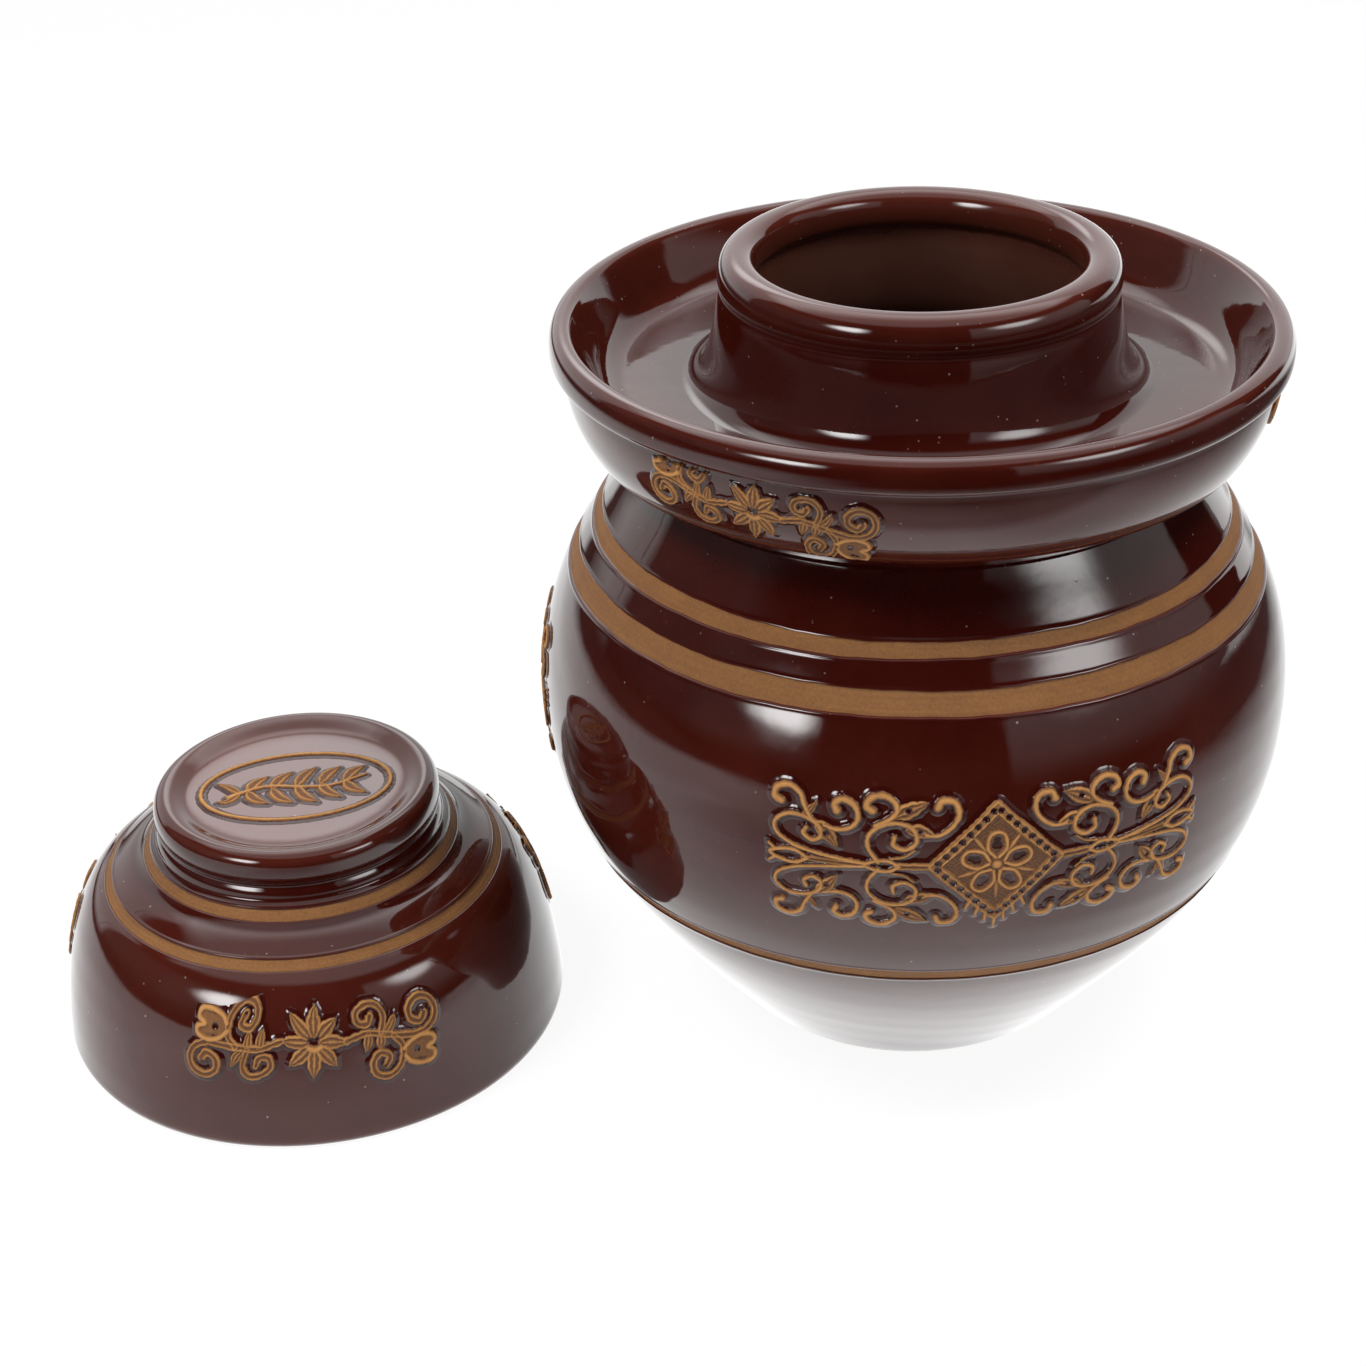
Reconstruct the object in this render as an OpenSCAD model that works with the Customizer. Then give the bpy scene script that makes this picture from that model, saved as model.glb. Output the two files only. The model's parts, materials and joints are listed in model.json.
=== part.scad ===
// Water seal pickle jar of glazed stoneware, with its bowl shaped cover standing beside it.
// The origin is on the jar's axis, in the plane of its foot. +Z is up and the shown side faces -Y.
// Outlines are lists of [radius, height] points that are revolved round the axis.

/* [Jar body] */
// Height of the belly line above the foot
belly_h = 94; // [84:1:104]
// Diameter at the belly line
belly_d = 194; // [184:1:206]
// Diameter of the flat foot
foot_d = 97; // [84:1:110]
// Chamfer round the foot
foot_chamfer = 1.2; // [0.6:0.2:2.4]
// Rise of the shoulder above the belly line
shoulder_rise = 62; // [56:1:70]
// Diameter at the top of the shoulder, where the moat starts
shoulder_d = 142; // [136:1:146]
// Thickness of the thrown wall
body_wall = 7; // [5.5:0.5:8]
// Thickness of the base
base_t = 9; // [7:0.5:13]

/* [Collar and mouth] */
// Diameter of the neck under the moat's floor
neck_d = 117; // [113:1:119]
// Height of the collar from the moat's floor to the top of the lip
collar_h = 32; // [27:1:36]
// Outer diameter of the collar just under the lip
collar_top_d = 99.5; // [98:0.5:101]
// Radius of the flare where the collar meets the moat's floor
collar_flare = 4; // [2:0.5:5]
// Outer diameter of the rolled lip
lip_d = 98.8; // [96:0.4:99.6]
// Height of the rolled lip
lip_h = 10.5; // [9:0.5:13]
// Inner diameter of the throat
throat_d = 84; // [80:1:86]
// How far the lip's inner edge stands into the throat
lip_ledge = 2; // [1:0.25:3]

/* [Water moat] */
// Outer diameter over the moat's rim bead
moat_d = 182.4; // [176:1:190]
// Height of the moat's rim above the shoulder
moat_rise = 36; // [32:1:40]
// Depth of the water channel
moat_depth = 16; // [13:0.5:20]
// Radius of the rim bead
bead_r = 4.5; // [3.5:0.25:5]
// How far the moat's wall leans in from the bead to its lower corner
moat_lean = 8.6; // [6:0.2:11]
// Height of the moat's lower corner above the shoulder
moat_corner_rise = 8.4; // [6:0.2:10]
// Thickness of the moat's wall at the channel floor
moat_wall = 8.5; // [7:0.5:10]

/* [Cover] */
// Gap between the seated cover's rim and the outer edge of the channel floor
cover_gap = 9; // [5:0.2:11]
// Thickness of the cover's wall
cover_wall = 5; // [4:0.25:6]
// Free height over the lip when the cover is seated
cover_headroom = 16.5; // [13:0.5:20]
// Thickness of the cover's crown
crown_t = 7; // [6:0.5:9]
// Rise of the cover's foot ring above its crown
cover_foot_h = 14; // [11:0.5:18]
// Diameter of the cover's foot ring
cover_foot_d = 76; // [73:0.5:80]
// Depth of the dished top inside the foot ring
dish_depth = 2.5; // [1.5:0.25:3.5]
// Place of the cover's axis beside the jar, along X
cover_x = -164; // [-210:0.2:-162]
// Place of the cover's axis beside the jar, along Y
cover_y = -12; // [-30:0.2:30]

/* [Slip bands] */
// Height of the band grooves' floor below the glaze
band_cut = 1; // [0.8:0.1:1.4]
// Thickness of the slip in the grooves
band_t = 0.7; // [0.4:0.1:0.8]
// Height of the lower band's middle above the foot
lower_band_z = 55.5; // [50:0.5:62]
// Width of the lower band
lower_band_w = 3.2; // [2:0.2:5]
// Height of the middle band's middle above the belly line
middle_band_rise = 36.3; // [32:0.5:38]
// Width of the middle band
middle_band_w = 6.4; // [4:0.2:7]
// Height of the upper band's middle above the belly line
upper_band_rise = 46.8; // [45:0.5:50]
// Width of the upper band
upper_band_w = 4.2; // [3:0.2:6]
// Width of the two bands on the cover
cover_band_w = 3; // [2:0.2:3.6]

/* [Sprig ornaments] */
// Height of a sprig over the wall that carries it
relief = 1; // [0.6:0.1:1.4]
// Height of the lozenge's ground over the wall
ground_relief = 0.5; // [0.3:0.1:0.6]
// Length of a belly sprig round the wall
belly_sprig_l = 107; // [92:1:116]
// Drop of the belly sprigs' middle below the belly line
belly_sprig_drop = 1; // [0:0.5:4]
// Turn of the first belly sprig from the front
belly_sprig_turn = 6.4; // [-60:0.2:60]
// Length of a moat sprig round the wall
moat_sprig_l = 60; // [52:0.5:61.5]
// Turn of the first moat sprig from the front
moat_sprig_turn = -30; // [-60:0.2:60]
// Length of a cover sprig round the wall
cover_sprig_l = 73; // [62:0.5:78]
// Height of the cover sprigs' middle above the cover's rim
cover_sprig_z = 30.5; // [28:0.5:32]
// Turn of the first cover sprig from the front
cover_sprig_turn = 7.4; // [-60:0.2:60]
// Length of the oval on the cover's dished top
oval_l = 52; // [44:1:56]
// Breadth of the oval on the cover's dished top
oval_b = 34; // [28:1:38]
// Width of the oval's line
oval_line = 1.8; // [1.2:0.2:2.6]

/* [Hidden] */
$fn = 96;
GLAZE = "#3b130d";
SLIP = "#a96c38";
CURVE_STEPS = 10;
ARC_STEPS = 5;
FAR = 400;
OVERLAP = 0.05;
SPRIGS_ROUND = 3;

// Places that follow from the driving sizes
belly_r = belly_d / 2;
foot_r = foot_d / 2;
shoulder_r = shoulder_d / 2;
shoulder_z = belly_h + shoulder_rise;
rim_z = shoulder_z + moat_rise;
channel_z = rim_z - moat_depth;
lip_z = channel_z + collar_h;
neck_r = neck_d / 2;
throat_r = throat_d / 2;
bead_out_r = moat_d / 2;
bead_mid_r = bead_out_r - bead_r;
corner_r = bead_out_r - moat_lean;
corner_z = shoulder_z + moat_corner_rise;
wall_foot_r = bead_mid_r - moat_wall - 1;
cover_r = wall_foot_r - cover_gap;
cover_in_h = collar_h + cover_headroom;
crown_z = cover_in_h + crown_t;
cover_h = crown_z + cover_foot_h;
cover_foot_r = cover_foot_d / 2;
middle_band_z = belly_h + middle_band_rise;
upper_band_z = belly_h + upper_band_rise;

// The sloping shelf that carries the moat, from the shoulder to the neck
shelf_rise = 10;
shelf_end = [neck_r, shoulder_z + shelf_rise];

// Handles that shape the curved outlines: how far each leans out and how far it rises
foot_handle = [30.7, 38.5];
belly_handle_low = [0, -38];
belly_handle_top = [0, 29.4];
shoulder_handle = [10.8, -17.6];
corner_handle = [3.4, 5];
crease_handle = [-0.4, -7];
cover_rim_handle = [-1.2, 17];
cover_band_handle = [10.6, -3];

// Curve helpers: a cubic curve, an arc, a spiral, and a curve moved inwards by the wall
function cubic(a, b, c, d, n = CURVE_STEPS) =
    [for (i = [0:n])
        let(t = i / n)
        pow(1 - t, 3) * a + 3 * pow(1 - t, 2) * t * b + 3 * (1 - t) * t * t * c + t * t * t * d];
function arc(mid, r, from, to, n = ARC_STEPS) =
    [for (i = [0:n]) let(a = from + (to - from) * i / n) mid + r * [cos(a), sin(a)]];
function spiral(mid, r0, r1, from, to, n) =
    [for (i = [0:n])
        let(t = i / n, a = from + (to - from) * t)
        mid + (r0 + (r1 - r0) * t) * [cos(a), sin(a)]];
function tail(list) = [for (i = [1:len(list) - 1]) list[i]];
function reversed(list) = [for (i = [len(list) - 1:-1:0]) list[i]];
function last_of(list) = list[len(list) - 1];
function without_last(list) = [for (i = [0:len(list) - 2]) list[i]];
function along(list, i) = let(v = list[min(i + 1, len(list) - 1)] - list[max(i - 1, 0)]) v / norm(v);
function beside(list, d) = [for (i = [0:len(list) - 1]) let(v = along(list, i)) list[i] + d * [-v.y, v.x]];
function radius_at(curve, z) = lookup(z, [for (p = curve) [p.y, p.x]]);

// Outer outline of the thrown body, from the foot up over the belly line to the shoulder
foot_line = [foot_r, 0];
belly_line = [belly_r, belly_h];
shoulder_line = [shoulder_r, shoulder_z];
function lower_curve() =
    cubic(foot_line, foot_line + foot_handle, belly_line + belly_handle_low, belly_line);
function upper_curve() =
    cubic(belly_line, belly_line + belly_handle_top, shoulder_line + shoulder_handle, shoulder_line);
function body_curve() = concat(lower_curve(), tail(upper_curve()));

// The cover's two bands: each starts at a low edge and climbs inwards at its own slope
OUTER_SLOPE = 45;
INNER_SLOPE = 52;
outer_band_in = 14.8;
outer_band_drop = 9.9;
inner_band_out = 4.2;
inner_band_drop = 2.5;
outer_band_low = [cover_r - outer_band_in, crown_z - outer_band_drop];
outer_band_top = outer_band_low + cover_band_w * [-cos(OUTER_SLOPE), sin(OUTER_SLOPE)];
inner_band_low = [cover_foot_r + inner_band_out, crown_z - inner_band_drop];
inner_band_top = inner_band_low + cover_band_w * [-cos(INNER_SLOPE), sin(INNER_SLOPE)];

// Outer outline of the cover's wall, from its rim up to the outer band
cover_rim = [cover_r, 0];
function cover_curve() =
    cubic(cover_rim, cover_rim + cover_rim_handle, outer_band_low + cover_band_handle, outer_band_low);

// A straight groove across a wall, and the slip that lies in it
function groove(curve, z, w) =
    let(low = [radius_at(curve, z - w / 2), z - w / 2], top = [radius_at(curve, z + w / 2), z + w / 2])
    [low - [band_cut, 0], [FAR, low.y], [FAR, top.y], top - [band_cut, 0]];
module slip_band(curve, z, w) {
    cut = groove(curve, z, w);
    color(SLIP)
        rotate_extrude()
            polygon([
                cut[0], cut[0] + [band_t, 0],
                [radius_at(curve, z) - band_cut + band_t, z],
                cut[3] + [band_t, 0], cut[3]
            ]);
}

// The lower half of the body, from the flat foot to the luting seam at the belly line
module lower_body() {
    inside = beside(lower_curve(), body_wall);
    floor_edge = [radius_at(inside, base_t), base_t];
    walls = [for (p = inside) if (p.y > base_t + 1 && p.y < belly_h - 1) p];
    color(GLAZE)
        rotate_extrude()
            difference() {
                polygon(concat(
                    [[0, 0], [foot_r - foot_chamfer, 0], [radius_at(lower_curve(), foot_chamfer), foot_chamfer]],
                    tail(lower_curve()),
                    [belly_line - [body_wall, 0]],
                    reversed(walls),
                    [floor_edge, [0, base_t]]
                ));
                polygon(groove(lower_curve(), lower_band_z, lower_band_w));
            }
}

// The upper half of the body: shoulder, neck, tapering collar and rolled lip, with a ledge inside the lip
LIP_FULLNESS = 0.46;
ledge_in = 0.4;
ledge_rise = 2;
throat_end = 4;
throat_handle = 9;
vault_handle = [-10, 9];
module upper_body() {
    inside = beside(upper_curve(), body_wall);
    walls = [for (p = inside) if (p.y > belly_h + 1) p];
    wall_top = last_of(walls);
    flare = arc([neck_r, channel_z + collar_flare], collar_flare, -90, -180);
    under_lip_z = lip_z - lip_h;
    under_lip = [collar_top_d / 2, under_lip_z];
    lip_r = lip_d / 2;
    edge_r = throat_r - lip_ledge;
    lip_round = (lip_r - edge_r) * LIP_FULLNESS;
    lip_out = arc([lip_r - lip_round, lip_z - lip_round], lip_round, -30, 90);
    lip_in = arc([edge_r + lip_round, lip_z - lip_round], lip_round, 90, 180);
    ledge = [edge_r + ledge_in, under_lip_z + ledge_rise];
    throat_top = [throat_r, under_lip_z];
    throat_low = [throat_r, channel_z + throat_end];
    vault = cubic(throat_low, throat_low - [0, throat_end + throat_handle], wall_top + vault_handle, wall_top);
    color(GLAZE)
        rotate_extrude()
            difference() {
                polygon(concat(
                    upper_curve(), [shelf_end], flare, [under_lip], lip_out, lip_in, [ledge, throat_top],
                    vault, reversed(without_last(walls)), [belly_line - [body_wall, 0]]
                ));
                polygon(groove(body_curve(), middle_band_z, middle_band_w));
                polygon(groove(body_curve(), upper_band_z, upper_band_w));
            }
}

// Outer wall of the moat, from its lower corner up to the crease under the rim bead
crease_out = 1.4;
crease_drop = 10;
corner_line = [corner_r, corner_z];
crease_line = [bead_mid_r + crease_out, rim_z - crease_drop];
function moat_curve() =
    cubic(corner_line, corner_line + corner_handle, crease_line + crease_handle, crease_line, 6);

// The moat: a ring luted onto the shoulder and round the neck, with a flat channel floor and a rim bead
BEAD_STEPS = 8;
moat_heel = [-2, -1.2];
rim_handle = [-6, -3];
channel_handle = [7, 0.5];
channel_cove = 4;
module water_moat() {
    bead = arc([bead_mid_r, rim_z - bead_r], bead_r, -50, 140, BEAD_STEPS);
    channel_edge = [wall_foot_r - channel_cove, channel_z];
    wall_in = cubic(
        last_of(bead), [bead_mid_r, rim_z - bead_r] + rim_handle,
        channel_edge + channel_handle, channel_edge, 6
    );
    color(GLAZE)
        rotate_extrude()
            polygon(concat(
                [[neck_r, channel_z], shelf_end, shoulder_line, corner_line + moat_heel],
                moat_curve(), bead, tail(wall_in)
            ));
}

// The cover: a bowl that stands rim down, with two band grooves and a stepped, dished foot ring on its crown
RIM_ROUND = [[-2.4, 0], [-0.9, 0.5], [-0.2, 1.8]];
rim_inside = 1.4;
step_out = [2.6, -1.7];
step_handle = [1.6, -0.3];
band_handle = [-2.2, 1.6];
ring_low = [cover_foot_r + 0.4, inner_band_top.y + 0.8];
ring_step = [cover_foot_r + 0.2, inner_band_top.y + 3.2];
ring_groove = [cover_foot_r - 1.1, inner_band_top.y + 4.6];
ring_side = [cover_foot_r, inner_band_top.y + 6];
ring_round = 3;
dish_lip_in = 5.4;
dish_lip_drop = 0.3;
dish_margin = 1.6;
cover_vault_handle = [-7, 4.6];
cover_flat = 24;
module cover_bowl() {
    wall = cover_curve();
    step = inner_band_low + step_out;
    crown = cubic(outer_band_top, outer_band_top + band_handle, step + step_handle, step, 4);
    outer_cut = band_cut * [sin(OUTER_SLOPE), cos(OUTER_SLOPE)];
    inner_cut = band_cut * [sin(INNER_SLOPE), cos(INNER_SLOPE)];
    edge = arc([cover_foot_r - ring_round, cover_h - ring_round], ring_round, 0, 90);
    dish_edge = [cover_foot_r - dish_lip_in, cover_h - dish_lip_drop];
    dish_z = cover_h - dish_depth;
    dish = cubic(
        dish_edge, dish_edge - [2, 0.6], [dish_edge.x - 3, dish_z], [oval_l / 2 + dish_margin, dish_z], 4
    );
    walls = [for (p = beside(wall, cover_wall)) if (p.y > 2.5) p];
    wall_top = last_of(walls);
    vault = cubic([0, cover_in_h], [cover_flat, cover_in_h], wall_top + cover_vault_handle, wall_top);
    color(GLAZE)
        translate([cover_x, cover_y, 0])
            rotate_extrude()
                polygon(concat(
                    [cover_rim + [rim_inside - cover_wall, 0]],
                    [for (p = RIM_ROUND) cover_rim + p],
                    tail(wall),
                    [outer_band_low - outer_cut, outer_band_top - outer_cut],
                    crown,
                    [inner_band_low, inner_band_low - inner_cut, inner_band_top - inner_cut, inner_band_top],
                    [ring_low, ring_step, ring_groove, ring_side], edge, dish, [[0, dish_z]],
                    vault, reversed(without_last(walls))
                ));
}

// Slip in a slanted groove of the cover, between the groove's two edges
module cover_band(low, top, slope) {
    deep = band_cut * [sin(slope), cos(slope)];
    shallow = (band_cut - band_t) * [sin(slope), cos(slope)];
    color(SLIP)
        translate([cover_x, cover_y, 0])
            rotate_extrude()
                polygon([low - deep, low - shallow, top - shallow, top - deep]);
}

// Drawing helpers for the sprigs. A drawing is flat, in mm, and is bent round a wall of radius r.
function bent(p, r) = [r * sin(p.x / r * 180 / PI), p.y];
module patch(points, r)
    polygon([for (p = points) bent(p, r)]);
module stroke(path, w0, w1, r) {
    last = len(path) - 1;
    half = [for (i = [0:last]) (w0 + (w1 - w0) * i / last) / 2];
    left = [for (i = [0:last]) let(v = along(path, i)) path[i] + half[i] * [-v.y, v.x]];
    right = [for (i = [0:last]) let(v = along(path, i)) path[i] - half[i] * [-v.y, v.x]];
    patch(concat(left, reversed(right)), r);
}
module knob(mid, d, r)
    patch(arc(mid, d / 2, 0, 324, 9), r);
function leaf(base, tip, w) =
    let(v = tip - base, n = [-v.y, v.x] / norm(v) * w / 2)
    concat(
        cubic(base, base + v * 0.3 + n * 1.3, base + v * 0.75 + n * 1.1, tip, 4),
        tail(reversed(cubic(base, base + v * 0.3 - n * 1.3, base + v * 0.75 - n * 1.1, tip, 4)))
    );

// A daisy between two sprays of scrolls, drawn 73.3 long. The left spray is the right one turned half round.
PETALS = 8;
PETAL_TURN = -6;
PETAL_FROM = 1.2;
PETAL_TO = 8.9;
PETAL_W = 3.4;
DAISY_STROKE = 2.1;
DAISY_L = 73.3;
DAISY_TOP = 11;
DAISY_LOW = 15;
module daisy_spray(k, r) {
    w = DAISY_STROKE * k;
    for (i = [0:PETALS - 1]) {
        a = i * 360 / PETALS + PETAL_TURN;
        patch(leaf(PETAL_FROM * k * [cos(a), sin(a)], PETAL_TO * k * [cos(a), sin(a)], PETAL_W * k), r);
    }
    knob([0, 0], 5 * k, r);
    for (side = [0, 180])
        rotate(side) {
            stem = cubic([8, -0.6], [14, 1.2], [20, -1.2], [27, -4.1], 5);
            end_curl = concat(stem, tail(spiral([30.2, 0.8], 5.4, 1.3, -105, 330, 13)));
            upper_curl = concat([[17, -0.2], [19.2, 1.6]], spiral([15.4, 4.4], 4.4, 1.2, -10, 300, 10));
            lower_curl = concat([[21.6, -2.4]], spiral([18.4, -8.7], 5.6, 1.3, 20, -310, 11));
            heart = [[22.6, -9], [25.4, -5.6], [30.2, -4.6], [30.8, -7.6], [29.9, -11.4], [26.6, -10.8]];
            stroke(k * end_curl, w, w * 0.9, r);
            knob(k * [31.2, 0.4], 2.6 * k, r);
            stroke(k * upper_curl, w * 0.9, w * 0.8, r);
            knob(k * [15.7, 3.6], 2.5 * k, r);
            stroke(k * lower_curl, w, w * 0.9, r);
            knob(k * [18.6, -7.9], 2.6 * k, r);
            patch(leaf(k * [14.6, 0], k * [13.6, -4.6], 2.6 * k), r);
            patch(leaf(k * [18.2, -0.6], k * [17.4, -4.4], 2.4 * k), r);
            patch(leaf(k * [19.2, -0.8], k * [23.2, 2.6], 2.6 * k), r);
            difference() {
                patch(k * heart, r);
                knob(k * [27.6, -8], 3 * k, r);
            }
        }
}

// One scroll of the lozenge sprig: a big curl, two outer curls, a leaf and a small leaf on the stem
SCROLL_STROKE = 1.5;
module lozenge_scroll(k, r) {
    w = SCROLL_STROKE * k;
    big_curl = concat([[0.6, 0.6]], spiral([-5.6, 7.4], 8.4, 1.4, -38, -460, 15));
    outer_curl = concat([[-5.6, 2.4], [-12.4, 5]], spiral([-14.4, 10.2], 4.6, 4, -60, 140, 7));
    upper_curl = concat([[-5.4, 11.6], [-3.4, 13.4]], spiral([-0.4, 14.4], 3.8, 1.6, 150, -120, 8));
    stroke(k * big_curl, w, w, r);
    knob(k * [-5.4, 6.6], 2.4 * k, r);
    stroke(k * outer_curl, w, w, r);
    knob(k * [-17.2, 12.4], 2.4 * k, r);
    stroke(k * upper_curl, w * 1.2, w, r);
    knob(k * [-0.9, 13.2], 2.2 * k, r);
    patch(leaf(k * [-4.2, 11.4], k * [-10.2, 13.8], 3 * k), r);
    patch(leaf(k * [-8.6, 4.4], k * [-12.4, 4.2], 3 * k), r);
}
module almond(x, l, b, k, r)
    difference() {
        patch(k * [
            [x - l, 0], [x - l * 0.4, b], [x + l * 0.4, b],
            [x + l, 0], [x + l * 0.4, -b], [x - l * 0.4, -b]
        ], r);
        patch(k * [[x - l * 0.5, 0], [x, b * 0.4], [x + l * 0.5, 0], [x, -b * 0.4]], r);
    }

// A lozenge with a beaded border round a blossom, between two rows of scrolls, drawn 107.4 long
LOZENGE_L = 107.4;
LOZENGE_HALF_H = 19;
LOZENGE_R = 16.4;
BORDER_W = 3.6;
BEADS = 7;
BEAD_D = 1.5;
BLOSSOM_PETALS = 5;
STEM_W = 1.9;
STEM_END = 50;
SCROLL_X = [28, 50];
module lozenge_outline(half, k, r)
    patch(k * half * [[1, 0], [0, 1], [-1, 0], [0, -1]], r);
module lozenge_sprig(k, r) {
    difference() {
        lozenge_outline(LOZENGE_R, k, r);
        lozenge_outline(LOZENGE_R - BORDER_W * 1.2, k, r);
        for (q = [0:3])
            for (i = [0:BEADS - 1]) {
                t = (i + 0.5) / BEADS;
                reach = LOZENGE_R - BORDER_W * 0.55;
                from = reach * [cos(q * 90), sin(q * 90)];
                to = reach * [cos(q * 90 + 90), sin(q * 90 + 90)];
                patch(arc(k * (from + (to - from) * t), BEAD_D / 2 * k, 0, 300, 5), r);
            }
    }
    for (i = [0:BLOSSOM_PETALS - 1]) {
        a = 90 + i * 360 / BLOSSOM_PETALS;
        patch(leaf(k * 0.9 * [cos(a), sin(a)], k * 6.4 * [cos(a), sin(a)], 4.2 * k), r);
    }
    knob([0, 0], 3.6 * k, r);
    for (i = [-3:3]) {
        fringe_z = abs(i) * 1.9 - LOZENGE_R;
        stroke(k * [[i * 1.9, fringe_z + 0.6], [i * 2.2, fringe_z - 1.6]], 0.9 * k, 0.8 * k, r);
    }
    for (side = [0, 1])
        mirror([side, 0]) {
            stroke(k * [[LOZENGE_R - 1.6, 0], [STEM_END, 0]], STEM_W * k, STEM_W * k, r);
            almond(26.6, 4, 1.7, k, r);
            almond(49.5, 4.2, 1.9, k, r);
            for (up = [0, 1])
                mirror([0, up])
                    for (x = SCROLL_X) {
                        turn = x * k / r * 180 / PI;
                        translate([r * sin(turn), 0])
                            scale(cos(turn))
                                lozenge_scroll(k / cos(turn), FAR);
                    }
        }
}

// A thin shell over a revolved wall between two heights, for the sprigs to be cut from. It keeps every corner
// of the wall's outline but one that all but meets its own edge, so it lies on the wall and never in it.
SKIN_EDGE = 0.02;
module wall_skin(curve, t, low, high)
    rotate_extrude() {
        between = [for (p = curve) if (p.y > low + SKIN_EDGE && p.y < high - SKIN_EDGE) p];
        face = concat([[radius_at(curve, low), low]], between, [[radius_at(curve, high), high]]);
        polygon(concat(face, reversed([for (p = face) p + [t, 0]])));
    }

// A drawing pushed outwards from the axis towards -Y, at its height on the wall
module pushed(z, reach)
    translate([0, 0, z])
        rotate([90, 0, 0])
            linear_extrude(reach)
                offset(delta = OVERLAP)
                    children();

module belly_sprig(index) {
    k = belly_sprig_l / LOZENGE_L;
    mid_z = belly_h - belly_sprig_drop;
    half = LOZENGE_HALF_H * k;
    color(SLIP)
        rotate(belly_sprig_turn + (index - 1) * 360 / SPRIGS_ROUND) {
            intersection() {
                wall_skin(body_curve(), relief, mid_z - half, mid_z + half);
                pushed(mid_z, FAR)
                    lozenge_sprig(k, belly_r);
            }
            intersection() {
                wall_skin(body_curve(), ground_relief, mid_z - half, mid_z + half);
                pushed(mid_z, FAR)
                    lozenge_outline(LOZENGE_R - BORDER_W, k, belly_r);
            }
        }
}

moat_sprig_margin = 0.6;
moat_sprig_lift = 0.8;
module moat_sprig(index) {
    k = moat_sprig_l / DAISY_L;
    low = corner_line.y + moat_sprig_margin;
    high = crease_line.y - 0.2;
    color(SLIP)
        rotate(moat_sprig_turn + (index - 1) * 360 / SPRIGS_ROUND)
            intersection() {
                wall_skin(moat_curve(), relief, low, high);
                pushed((low + high) / 2 + moat_sprig_lift, FAR)
                    daisy_spray(k, bead_mid_r);
            }
}

module cover_sprig(index) {
    k = cover_sprig_l / DAISY_L;
    color(SLIP)
        translate([cover_x, cover_y, 0])
            rotate(cover_sprig_turn + (index - 1) * 360 / SPRIGS_ROUND)
                intersection() {
                    wall_skin(
                        cover_curve(), relief, cover_sprig_z - DAISY_LOW * k, cover_sprig_z + DAISY_TOP * k
                    );
                    pushed(cover_sprig_z, FAR)
                        daisy_spray(k, cover_r);
                }
}

// The oval on the cover's dished top, round a leafy twig drawn for an oval 52 long
OVAL_DRAWN_L = 52;
TWIG_PAIRS = 2;
TWIG_STEP = 6.4;
TWIG_LEAF = [4.4, 7];
TWIG_LEAF_W = 3.6;
function oval(l, b, n = 36) = [for (i = [0:n - 1]) [l / 2 * cos(i * 360 / n), b / 2 * sin(i * 360 / n)]];
module leafy_twig(k) {
    stroke(k * cubic([-18, -3], [-8, 3], [6, -5], [18, 3], 8), 1.2 * k, k, FAR);
    for (i = [-TWIG_PAIRS:TWIG_PAIRS]) {
        foot = k * [i * TWIG_STEP, 0.25 * i - 0.4];
        tip = k * [TWIG_LEAF.x, TWIG_LEAF.y - abs(i)];
        patch(leaf(foot, foot + tip, TWIG_LEAF_W * k), FAR);
        patch(leaf(foot, foot + [tip.x, -tip.y], TWIG_LEAF_W * k), FAR);
    }
}
module cover_medallion() {
    color(SLIP)
        translate([cover_x, cover_y, cover_h - dish_depth])
            rotate(cover_sprig_turn)
                linear_extrude(relief) {
                    difference() {
                        polygon(oval(oval_l, oval_b));
                        polygon(oval(oval_l - 2 * oval_line, oval_b - 2 * oval_line));
                    }
                    offset(delta = OVERLAP)
                        leafy_twig(oval_l / OVAL_DRAWN_L);
                }
}

lower_body();
upper_body();
water_moat();
slip_band(body_curve(), lower_band_z, lower_band_w);  // lower_band
slip_band(body_curve(), middle_band_z, middle_band_w);  // middle_band
slip_band(body_curve(), upper_band_z, upper_band_w);  // upper_band
belly_sprig(1);  // belly_sprig_1
belly_sprig(2);  // belly_sprig_2
belly_sprig(3);  // belly_sprig_3
moat_sprig(1);  // moat_sprig_1
moat_sprig(2);  // moat_sprig_2
moat_sprig(3);  // moat_sprig_3
cover_bowl();
cover_band(inner_band_low, inner_band_top, INNER_SLOPE);  // cover_inner_band
cover_band(outer_band_low, outer_band_top, OUTER_SLOPE);  // cover_outer_band
cover_sprig(1);  // cover_sprig_1
cover_sprig(2);  // cover_sprig_2
cover_sprig(3);  // cover_sprig_3
cover_medallion();
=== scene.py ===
"""Looks of the glazed water seal pickle jar and its cover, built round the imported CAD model."""

import json
import logging
import math
from dataclasses import dataclass, field
from enum import Enum
from typing import Callable, Sequence

import bmesh
import bpy
import numpy as np
from mathutils import Matrix, Vector

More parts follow.
